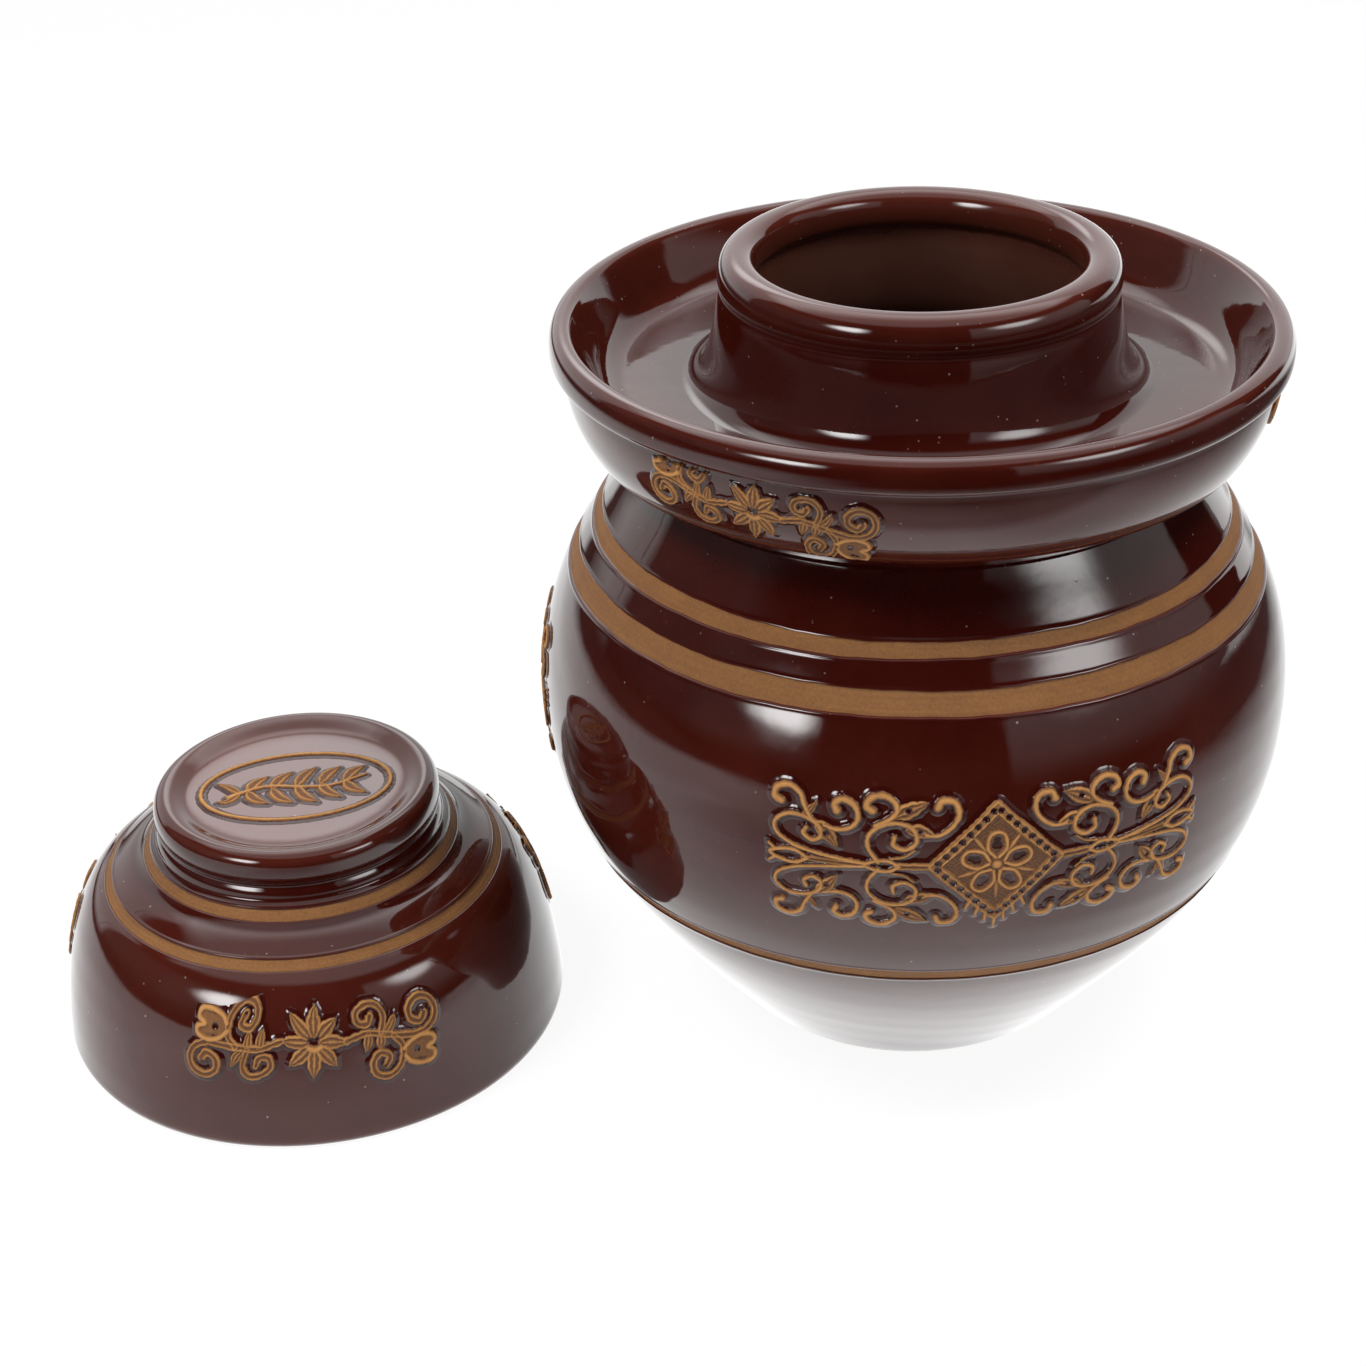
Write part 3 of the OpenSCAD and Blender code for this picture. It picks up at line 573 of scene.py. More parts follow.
def new_group(name: str, inputs: dict[str, float], outputs: dict[str, str]) -> tuple[bpy.types.NodeTree, Graph, bpy.types.Node, bpy.types.Node]:
    """An empty shader node group.

    Args:
        name: Name of the group.
        inputs: Names and default values of its number inputs.
        outputs: Names and socket types of its outputs.
    Returns:
        The group, its graph, its input node and its output node.
    """
    tree = bpy.data.node_groups.new(name, "ShaderNodeTree")
    for key, value in inputs.items():
        tree.interface.new_socket(key, in_out="INPUT", socket_type="NodeSocketFloat").default_value = value
    for key, kind in outputs.items():
        tree.interface.new_socket(key, in_out="OUTPUT", socket_type=kind)
    graph = Graph(tree)
    return tree, graph, graph.add("NodeGroupInput"), graph.add("NodeGroupOutput")


@dataclass(frozen=True)
class GlazeSkin:
    """Colour, gloss and surface of the iron glaze: deep where it pools, and redder where it runs thin and where the
    same mark stands for painted light.
    """

    deep: Colour = (0.040, 0.0036, 0.0019)
    thin: Colour = (0.135, 0.028, 0.017)
    fleck: Colour = (0.42, 0.33, 0.29)

    def group(self) -> bpy.types.NodeTree:
        """The node group, with the thin glaze and painted light mark in, and Color, Roughness and Height out."""
        outputs = {"Color": "NodeSocketColor", "Roughness": "NodeSocketFloat", "Height": "NodeSocketFloat"}
        tree, g, given, out = new_group("glaze_skin", {"Thin": 0.0}, outputs)
        coords = g.objects()
        mottle = g.span(g.noise(coords, 38, 5, 0.62, 0.4), 0.42, 0.72)
        # Thin glaze is redder. On the cover's wall, crown and dish the same mark paints light.
        thin = g.maths("ADD", given.outputs["Thin"], g.maths("MULTIPLY", mottle, 0.13), clamp=True)
        colour = g.blend(thin, self.deep, self.thin)
        cells = g.add("ShaderNodeTexVoronoi", {"Vector": coords, "Scale": 260.0, "Randomness": 1.0})
        tone = g.add("ShaderNodeSeparateColor", {"Color": cells.outputs["Color"]})
        few = g.maths("GREATER_THAN", tone.outputs[0], 0.955)
        spot = g.maths("MULTIPLY", g.span(cells.outputs["Distance"], 0.10, 0.04), few)
        colour = g.blend(g.maths("MULTIPLY", spot, 0.75), colour, self.fleck)
        warm = g.maths("MULTIPLY", g.span(cells.outputs["Distance"], 0.22, 0.08), g.maths("GREATER_THAN", tone.outputs[1], 0.93))
        colour = g.blend(g.maths("MULTIPLY", warm, 0.5), colour, (0.10, 0.016, 0.008))
        dust = g.add("ShaderNodeTexVoronoi", {"Vector": coords, "Scale": 430.0, "Randomness": 1.0})
        grey = g.add("ShaderNodeSeparateColor", {"Color": dust.outputs["Color"]})
        height = g.add("ShaderNodeSeparateXYZ", {"Vector": coords}).outputs[2]
        share = g.span(height, 0.13, 0.185, 0.95, 0.74)
        dots = g.maths("MULTIPLY", g.span(dust.outputs["Distance"], 0.13, 0.06), g.maths("GREATER_THAN", grey.outputs[0], share))
        colour = g.blend(g.maths("MULTIPLY", dots, g.span(grey.outputs[1], 0, 1, 0.15, 0.75)), colour, self.fleck)
        g.tree.links.new(colour, out.inputs["Color"])
        rough = g.span(g.noise(coords, 90, 3, 0.6), 0.3, 0.75, 0.03, 0.085)
        g.tree.links.new(g.maths("ADD", rough, g.maths("MULTIPLY", spot, 0.3)), out.inputs["Roughness"])
        peel = g.maths("ADD", g.maths("MULTIPLY", g.noise(coords, 120, 2, 0.45), 2.6), g.maths("MULTIPLY", g.noise(coords, 330, 2, 0.5), 0.5))
        fine = g.maths("MULTIPLY", g.noise(coords, 620, 2, 0.5), 0.14)
        pits = g.maths("MULTIPLY", spot, -0.9)
        g.tree.links.new(g.maths("ADD", g.maths("ADD", peel, fine), pits), out.inputs["Height"])
        return tree


@dataclass(frozen=True)
class SlipGrain:
    """Colour and surface of matt ochre slip, darker in its hollows, with fine grit and brush hairs."""

    bright: Colour = (0.62, 0.29, 0.075)
    dark: Colour = (0.12, 0.040, 0.013)

    def group(self) -> bpy.types.NodeTree:
        """The node group, with Ridge and Streak in, and Color, Roughness and Height out."""
        outputs = {"Color": "NodeSocketColor", "Roughness": "NodeSocketFloat", "Height": "NodeSocketFloat"}
        tree, g, given, out = new_group("slip_grain", {"Ridge": 0.5, "Streak": 0.0}, outputs)
        coords = g.objects()
        grit = g.noise(coords, 1500, 3, 0.6)
        cloud = g.span(g.noise(coords, 110, 4, 0.6), 0.3, 0.72)
        hairs_at = g.add("ShaderNodeMapping", {"Vector": coords, "Scale": (14.0, 14.0, 800.0)}).outputs[0]
        hairs = g.span(g.noise(hairs_at, 1, 3, 0.6), 0.3, 0.7)
        tone = g.maths("MULTIPLY", given.outputs["Ridge"], g.span(cloud, 0, 1, 0.78, 1.08))
        tone = g.maths("ADD", tone, g.maths("MULTIPLY", g.maths("SUBTRACT", hairs, 0.5), given.outputs["Streak"]))
        tone = g.maths("ADD", tone, g.span(grit, 0.3, 0.7, -0.10, 0.10), clamp=True)
        g.tree.links.new(g.blend(tone, self.dark, self.bright), out.inputs["Color"])
        g.tree.links.new(g.span(grit, 0.3, 0.7, 0.62, 0.82), out.inputs["Roughness"])
        height = g.maths("ADD", grit, g.maths("MULTIPLY", hairs, g.maths("MULTIPLY", given.outputs["Streak"], 3.0)))
        g.tree.links.new(height, out.inputs["Height"])
        return tree


@dataclass(frozen=True)
class Palette:
    """The finished materials and the record's slots they stand for."""

    glaze: bpy.types.Material
    relief: bpy.types.Material
    band: bpy.types.Material
    glaze_slot: str = "oxblood_glaze"
    slip_slot: str = "ochre_slip"


def principled(name: str) -> tuple[bpy.types.Material, Graph, bpy.types.Node]:
    """A material with a plain Principled shader.

    Args:
        name: Name of the material.
    Returns:
        The material, its graph and its shader.
    """
    material = bpy.data.materials.new(name)
    material.use_nodes = True
    graph = Graph(material.node_tree)
    return material, graph, material.node_tree.nodes["Principled BSDF"]


def bright_rim(g: Graph, shader: bpy.types.Node, share: bpy.types.NodeSocket, normal: bpy.types.NodeSocket) -> None:
    """Adds a clear coat that shows only where the glaze is seen at a slant.

    Args:
        g: The material's graph.
        shader: Its Principled shader.
        share: Where the surface is glossy glaze.
        normal: The bumped normal, which the coat follows.
    """
    facing = g.add("ShaderNodeLayerWeight", {"Blend": 0.5}).outputs["Facing"]
    g.tree.links.new(g.maths("MULTIPLY", g.span(facing, 0.42, 0.84, 0.0, 0.5), share), shader.inputs["Coat Weight"])
    g.tree.links.new(normal, shader.inputs["Coat Normal"])
    shader.inputs["Coat Roughness"].default_value = 0.03
    shader.inputs["Coat IOR"].default_value = 1.62


def make_palette() -> Palette:
    """Builds the groups once and places them in the three materials."""
    skin, grain = GlazeSkin().group(), SlipGrain().group()

    glaze, g, shader = principled("oxblood_glaze")
    thin, inner, bare = g.mark("thin"), g.mark("inner"), g.mark("bare")
    made = g.add("ShaderNodeGroup", {}, node_tree=skin)
    g.tree.links.new(thin, made.inputs["Thin"])
    coords = g.objects()
    # Painted shade: the inner wash is painted darker with depth and is almost black below about 162 mm, where little
    # light reaches inside the jar.
    depth = g.span(g.add("ShaderNodeSeparateXYZ", {"Vector": coords}).outputs[2], 0.162, 0.198, 0.05, 1.0)
    wash = g.blend(g.noise(coords, 60, 4, 0.6), (0.078, 0.025, 0.016), (0.16, 0.058, 0.037))
    wash = g.blend(depth, (0.004, 0.0015, 0.001), wash)
    clay = g.blend(g.noise(coords, 300, 5, 0.7), (0.20, 0.10, 0.065), (0.36, 0.22, 0.15))
    g.tree.links.new(g.blend(bare, g.blend(inner, made.outputs["Color"], wash), clay), shader.inputs["Base Color"])
    rough = g.maths("ADD", made.outputs["Roughness"], g.maths("MULTIPLY", inner, 0.34))
    g.tree.links.new(g.maths("ADD", rough, g.maths("MULTIPLY", bare, 0.72), clamp=True), shader.inputs["Roughness"])
    sand = g.maths("MULTIPLY", g.maths("ADD", inner, g.maths("MULTIPLY", bare, 4.0)), g.noise(coords, 1100, 3, 0.6))
    bump = g.add("ShaderNodeBump", {"Strength": 1.0, "Distance": 1.6e-5, "Height": g.maths("ADD", made.outputs["Height"], sand)})
    g.tree.links.new(bump.outputs[0], shader.inputs["Normal"])
    shader.inputs["IOR"].default_value = 1.53
    bright_rim(g, shader, g.maths("SUBTRACT", g.maths("SUBTRACT", 1.0, inner, clamp=True), bare, clamp=True), bump.outputs[0])

    relief, g, shader = principled("ochre_relief")
    slip = g.mark("slip")
    made = g.add("ShaderNodeGroup", {}, node_tree=skin)
    worn = g.add("ShaderNodeGroup", {}, node_tree=grain)
    g.tree.links.new(g.mark("ridge"), worn.inputs["Ridge"])
    edge_noise = g.span(g.noise(g.objects(), 900, 2, 0.5), 0.35, 0.65, -0.25, 0.25)
    mask = g.span(g.maths("ADD", slip, edge_noise), 0.35, 0.65)
    g.tree.links.new(g.blend(mask, made.outputs["Color"], worn.outputs["Color"]), shader.inputs["Base Color"])
    rough = g.add("ShaderNodeMix", {"0": mask, "2": made.outputs["Roughness"], "3": worn.outputs["Roughness"]}, data_type="FLOAT")
    g.tree.links.new(rough.outputs[0], shader.inputs["Roughness"])
    height = g.maths("ADD", made.outputs["Height"], g.maths("MULTIPLY", mask, worn.outputs["Height"]))
    bump = g.add("ShaderNodeBump", {"Strength": 1.0, "Distance": 1.6e-5, "Height": height})
    g.tree.links.new(bump.outputs[0], shader.inputs["Normal"])
    shader.inputs["IOR"].default_value = 1.53
    bright_rim(g, shader, g.maths("SUBTRACT", 1.0, mask, clamp=True), bump.outputs[0])

    band, g, shader = principled("ochre_band")
    worn = g.add("ShaderNodeGroup", {"Ridge": 0.29, "Streak": 0.07}, node_tree=grain)
    g.tree.links.new(worn.outputs["Color"], shader.inputs["Base Color"])
    g.tree.links.new(worn.outputs["Roughness"], shader.inputs["Roughness"])
    bump = g.add("ShaderNodeBump", {"Strength": 1.0, "Distance": 2.4e-5, "Height": worn.outputs["Height"]})
    g.tree.links.new(bump.outputs[0], shader.inputs["Normal"])
    return Palette(glaze, relief, band)


def dress(obj: bpy.types.Object, body: str, material: bpy.types.Material, slot: str, *nodes: str) -> None:
    """Gives a piece its material and body, and lets it stand for its CAD nodes."""
    obj.data.materials.append(material)
    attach(obj, body)
    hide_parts(*nodes)
    LOG.info("%s rides on %s and stands for %s (%d faces)", obj.name, body, ", ".join(nodes), len(obj.data.polygons))


# Outlines with marks


class Outline:
    """A growing outline of radius and height, with a thin glaze and painted light mark, an inner mark and a bare mark
    for each point.
    """

    def __init__(self) -> None:
        """Starts empty."""
        self.points: list[np.ndarray] = []
        self.marks: dict[str, list[np.ndarray]] = {"thin": [], "inner": [], "bare": []}

    def add(self, points: Sequence[Pair] | np.ndarray, thin: float = 0.0, inner: float = 0.0, bare: float = 0.0) -> "Outline":
        """Adds points, which share their marks, and skips one that repeats the last."""
        rows = np.array(points, float)
        if self.points and np.linalg.norm(self.points[-1][-1] - rows[0]) < 1e-3:
            rows = rows[1:]
        self.points.append(rows)
        for name, value in (("thin", thin), ("inner", inner), ("bare", bare)):
            self.marks[name].append(np.full(len(rows), value))
        return self

    def spun(self, steps: int, closed: bool) -> bmesh.types.BMesh:
        """The outline turned round the axis, its marks smoothed along it."""
        smooth = {}
        for name, parts in self.marks.items():
            values = np.concatenate(parts)
            padded = np.pad(values, 2, mode="wrap" if closed else "edge")
            smooth[name] = np.convolve(padded, np.array([1, 2, 3, 2, 1]) / 9, mode="valid")
        return turned(np.vstack(self.points), closed, steps, smooth)


def grooved(wall: np.ndarray, bands: Sequence[tuple[float, float]], low: float, high: float, cut: float) -> tuple[np.ndarray, np.ndarray]:
    """Rows of a wall between two heights, with a round edged groove for each band.

    Args:
        wall: The even wall's outline.
        bands: Low and high edge of each band.
        low: Lowest height.
        high: Highest height.
        cut: Depth of the grooves.
    Returns:
        Rows of radius and height, and how thin the glaze is at each.
    """
    heights = list(np.arange(low, high, 1.0)) + [high, low + 0.1, high - 0.1, low + 0.4, high - 0.4]
    for a, b in bands:
        heights = [z for z in heights if not a - 1.5 < z < b + 1.5]
        fine = np.array([-1.5, -1.2, -0.95, -0.75, -0.58, -0.44, -0.32, -0.22, -0.13, -0.05, 0.02, 0.08])
        heights += list(a + fine) + list(b - fine) + list(np.arange(a + 0.6, b - 0.3, 0.8))
    z = np.unique(np.round(np.array(heights), 3))
    r = np.interp(z, wall[:, 1], wall[:, 0])
    thin = np.zeros(len(z))
    for a, b in bands:
        for edge, side in ((a, 1), (b, -1)):
            d = (z - edge) * side
            r += 0.13 * np.exp(-(((d + 0.62) / 0.34) ** 2))
            thin = np.maximum(thin, 0.85 * np.exp(-(((d + 0.16) / 0.22) ** 2)))
        inside = ease(z, a - 0.30, a + 0.04) * (1 - ease(z, b - 0.04, b + 0.30))
        r -= cut * inside
    return np.stack([r, z], 1), thin


# Sub-assemblies


@dataclass
class JarBody:
    """The turned body in two luted halves, with its three slip bands."""

    foot_r: float = 48.5
    belly_r: float = 97.0
    belly_h: float = 94.0
    shoulder_r: float = 71.0
    shoulder_z: float = 156.0
    wall: float = 7.0
    base: float = 9.0
    channel_z: float = 176.0
    lip_z: float = 208.0
    neck_r: float = 58.5
    throat_r: float = 42.0
    band_cut: float = 1.0
    band_depth: float = 0.3
    bands: dict[str, tuple[float, float]] = field(
        default_factory=lambda: {"lower_band": (54.1, 56.8), "middle_band": (127.8, 132.8), "upper_band": (139.3, 142.4)}
    )
    steps: int = 320

    def __post_init__(self) -> None:
        """Draws the two curves and the wall that the bands and sprigs lie on."""
        self.lower = cubic((self.foot_r, 0), (self.foot_r + 30.7, 38.5), (self.belly_r, self.belly_h - 38), (self.belly_r, self.belly_h), 90)
        self.upper = cubic((self.belly_r, self.belly_h), (self.belly_r, self.belly_h + 29.4),
                           (self.shoulder_r + 10.8, self.shoulder_z - 17.6), (self.shoulder_r, self.shoulder_z), 80)
        edges = []
        for i, (low, high) in enumerate(self.bands.values()):
            edges += [BrushedEdge(low, 11 + i, 0.9 + i), BrushedEdge(high, 31 + i, 1.1 + i, -0.3)]
        self.surface = Wall(np.vstack([self.lower, self.upper[1:]]), Waver(3), edges=tuple(edges))

    def inside(self, curve: np.ndarray) -> np.ndarray:
        """A curve moved inwards by the wall's thickness."""
        v = np.gradient(curve, axis=0)
        v /= np.linalg.norm(v, axis=1)[:, None]
        return curve + self.wall * np.stack([-v[:, 1], v[:, 0]], 1)

    def build_lower(self, palette: Palette) -> None:
        """The lower half: flat unglazed foot, swelling wall and lower band's groove."""
        rows, thin = grooved(self.surface.outline, [self.bands["lower_band"]], 3.2, self.belly_h, self.band_cut)
        inner = self.inside(self.lower)
        inner = inner[(inner[:, 1] > self.base + 3) & (inner[:, 1] < self.belly_h - 1)][::-3]
        line = Outline()
        line.add([(0, 0.7), (12, 0.7), (24, 0.68), (34, 0.62), (40, 0.5), (42.5, 0.2), (44, 0), (46.6, 0)], bare=1)
        line.add([(47.6, 0.25), (48.6, 0.95)], bare=0.8)
        line.add([(49.35, 1.7), (50.0, 2.5)], thin=0.8)
        for p, t in zip(rows, thin):
            line.add([p], thin=max(t, 0.16))
        line.add([(self.belly_r - self.wall, self.belly_h)], inner=1)
        line.add(inner, inner=1)
        line.add([(52, self.base + 1.2), (46, self.base + 0.2), (34, self.base), (17, self.base), (0, self.base)], inner=1)
        obj = to_object(line.spun(self.steps, False), "jar_lower_body", self.surface.settle)
        dress(obj, "jar", palette.glaze, palette.glaze_slot, "lower_body")

    def build_upper(self, palette: Palette) -> None:
        """The upper half: shoulder with two grooves, hidden shelf, flared collar, rolled lip, ledge and vault."""
        bands = [self.bands["middle_band"], self.bands["upper_band"]]
        rows, thin = grooved(self.surface.outline, bands, self.belly_h, self.shoulder_z, self.band_cut)
        line = Outline()
        for p, t in zip(rows, thin):
            line.add([p], thin=max(t, 0.16 * (1 - ease(p[1], 112, 126))))
        line.add([(64.7, 161), (self.neck_r, 166)])
        line.add(np.linspace((self.neck_r, 168), (self.neck_r, self.channel_z - 0.05), 4))
        line.add(cubic((self.neck_r, self.channel_z), (55.0, 176.05), (52.9, 179.3), (51.5, 185.5), 18))
        line.add(cubic((51.5, 185.5), (50.6, 189.5), (49.9, 193.5), (49.4, 196.4), 8))
        line.add(cubic((49.4, 196.4), (49.15, 197.6), (48.95, 198.2), (49.1, 199.2), 6), thin=0.05)
        line.add(cubic((49.1, 199.2), (49.75, 201.4), (49.7, 204.6), (48.2, 206.4), 10), thin=0.12)
        line.add(cubic((48.2, 206.4), (47.1, 207.6), (45.8, 208.0), (44.4, 207.98), 8), thin=0.45)
        line.add(cubic((44.4, 207.98), (42.6, 207.95), (41.0, 207.5), (40.4, 205.4), 9), thin=0.5)
        line.add(cubic((40.4, 205.4), (39.95, 203.6), (39.9, 201.8), (40.2, 200.4), 6), thin=0.25, inner=0.15)
        line.add(cubic((40.2, 200.4), (40.4, 199.2), (41.9, 198.9), (42.0, 197.5), 5), thin=0.2, inner=0.5)
        line.add([(42.0, 194), (42.0, 190), (42.0, 185)], inner=0.9)
        wall = self.inside(self.upper)
        top = wall[wall[:, 1] > self.belly_h + 1][-1]
        line.add(cubic((42.0, 180), (42.0, 167), (top[0] - 10, top[1] + 9), tuple(top), 16), inner=1)
        line.add(wall[(wall[:, 1] > self.belly_h + 1)][-3::-3], inner=1)
        line.add([(self.belly_r - self.wall, self.belly_h)], inner=1)
        obj = to_object(line.spun(self.steps, True), "jar_upper_body", self.surface.settle)
        dress(obj, "jar", palette.glaze, palette.glaze_slot, "upper_body")

    def build_band(self, node: str, palette: Palette) -> None:
        """One slip band: a ring in its groove with brush ridges on its face."""
        low, high = self.bands[node]
        z = np.unique(np.concatenate([np.arange(low - 0.25, high + 0.25, 0.24), [high + 0.25]]))
        r = self.surface.radius(z) - self.band_depth + 0.035 * np.sin(z * 5.3) + 0.02 * np.sin(z * 11.9 + 1)
        line = Outline().add([(self.surface.radius(z[0]) - self.band_cut - 0.1, z[0])])
        line.add(np.stack([r, z], 1))
        line.add([(self.surface.radius(z[-1]) - self.band_cut - 0.1, z[-1])])
        obj = to_object(line.spun(self.steps, True), f"jar_{node}", self.surface.settle)
        dress(obj, "jar", palette.band, palette.slip_slot, node)

    def build_sprigs(self, palette: Palette) -> None:
        """Three lozenge sprays round the belly."""
        draw = lozenge_spray()
        sheet = relief_sheet(draw, (111, 41), (0, 0), 0.22, 0.72)
        for i in range(3):
            turn = math.radians(6.4 + 120 * i)

            def lie(co: np.ndarray, turn: float = turn) -> np.ndarray:
                """Bends the sheet round the belly."""
                return self.surface.place(turn + co[:, 0] / self.belly_r, self.belly_h - 1 + co[:, 1], co[:, 2])

            obj = to_object(sheet.copy(), f"jar_belly_sprig_{i + 1}", lie, 180)
            dress(obj, "jar", palette.relief, palette.slip_slot, f"belly_sprig_{i + 1}")
        sheet.free()

    def build(self, palette: Palette) -> None:
        """Builds the body's pieces."""
        self.build_lower(palette)
        self.build_upper(palette)
        for node in self.bands:
            self.build_band(node, palette)
        self.build_sprigs(palette)


@dataclass
class WaterMoat:
    """The ring that holds the sealing water, with its banded rim and three daisy sprays."""

    neck_r: float = 58.5
    channel_z: float = 176.0
    corner: Pair = (82.6, 164.4)
    crease: Pair = (88.1, 182.0)
    rim_z: float = 192.0
    steps: int = 360

    def __post_init__(self) -> None:
        """Draws the outer wall that the sprigs lie on."""
        self.outer = cubic(self.corner, (86.0, 169.4), (87.7, 175.0), self.crease, 24)
        low = np.array([[81.6, 163.0]])
        self.surface = Wall(np.vstack([low, self.outer, [[88.6, 184.5]]]), Waver(3))

    def build_ring(self, palette: Palette) -> None:
        """The ring itself."""
        line = Outline()
        line.add(np.linspace((self.neck_r, self.channel_z), (self.neck_r + 12, self.channel_z), 12), thin=0.18)
        line.add(np.linspace((self.neck_r + 13, self.channel_z), (73.2, self.channel_z), 3), thin=0.18)
        line.add(cubic((73.2, 176.0), (77.6, 176.1), (79.4, 178.6), (81.2, 182.6), 14), thin=0.2)
        line.add(cubic((81.2, 182.6), (82.7, 185.8), (83.9, 188.2), (85.2, 190.3), 10), thin=0.2)
        line.add(cubic((85.2, 190.3), (85.6, 191.1), (86.0, 191.7), (86.8, 191.9), 6), thin=0.5)
        line.add(cubic((86.8, 191.9), (88.3, 192.1), (89.5, 191.7), (90.2, 190.7), 8), thin=0.32)
        line.add(cubic((90.2, 190.7), (91.0, 189.6), (91.25, 187.6), (91.1, 185.6), 10), thin=0.04)
        line.add(cubic((91.1, 185.6), (91.05, 184.6), (90.6, 184.0), (89.7, 183.75), 6), thin=0.14)
        line.add(cubic((89.7, 183.75), (88.7, 183.5), (88.15, 183.2), (88.1, 182.6), 6), thin=0.03)
        line.add(self.outer[::-1][1:], thin=0.22)
        line.add(cubic((82.6, 164.4), (81.8, 163.2), (80.6, 163.0), (79.6, 162.3), 6), thin=0.4)
        line.add([(76, 159.8), (71.2, 156.4), (70.4, 156.2), (64.4, 161.2), (self.neck_r, 166)])
        line.add(np.linspace((self.neck_r, 168), (self.neck_r, self.channel_z - 1), 3))
        obj = to_object(line.spun(self.steps, True), "jar_water_moat", self.surface.settle)
        dress(obj, "jar", palette.glaze, palette.glaze_slot, "water_moat")

    def build_sprigs(self, palette: Palette) -> None:
        """Three daisy sprays round the moat's wall."""
        k = 60 / 73.3
        sheet = relief_sheet(daisy_spray(), (76, 29), (0, -2), 0.25, 0.75)
        for i in range(3):
            turn = math.radians(-30 + 120 * i)

            def lie(co: np.ndarray, turn: float = turn) -> np.ndarray:
                """Bends the sheet round the moat's wall and sinks what would reach past its edges."""
                z = 174.9 + k * co[:, 1]
                lift = co[:, 2] - 3 * ease(z, 181.6, 182.8) - 3 * ease(-z, -165.4, -164.9)
                return self.surface.place(turn + k * co[:, 0] / 86.7, np.maximum(z, 164.9 + 0.05 * (z - 164.9)), lift)

            obj = to_object(sheet.copy(), f"jar_moat_sprig_{i + 1}", lie, 180)
            dress(obj, "jar", palette.relief, palette.slip_slot, f"moat_sprig_{i + 1}")
        sheet.free()

    def build(self, palette: Palette) -> None:
        """Builds the moat's pieces."""
        self.build_ring(palette)
        self.build_sprigs(palette)


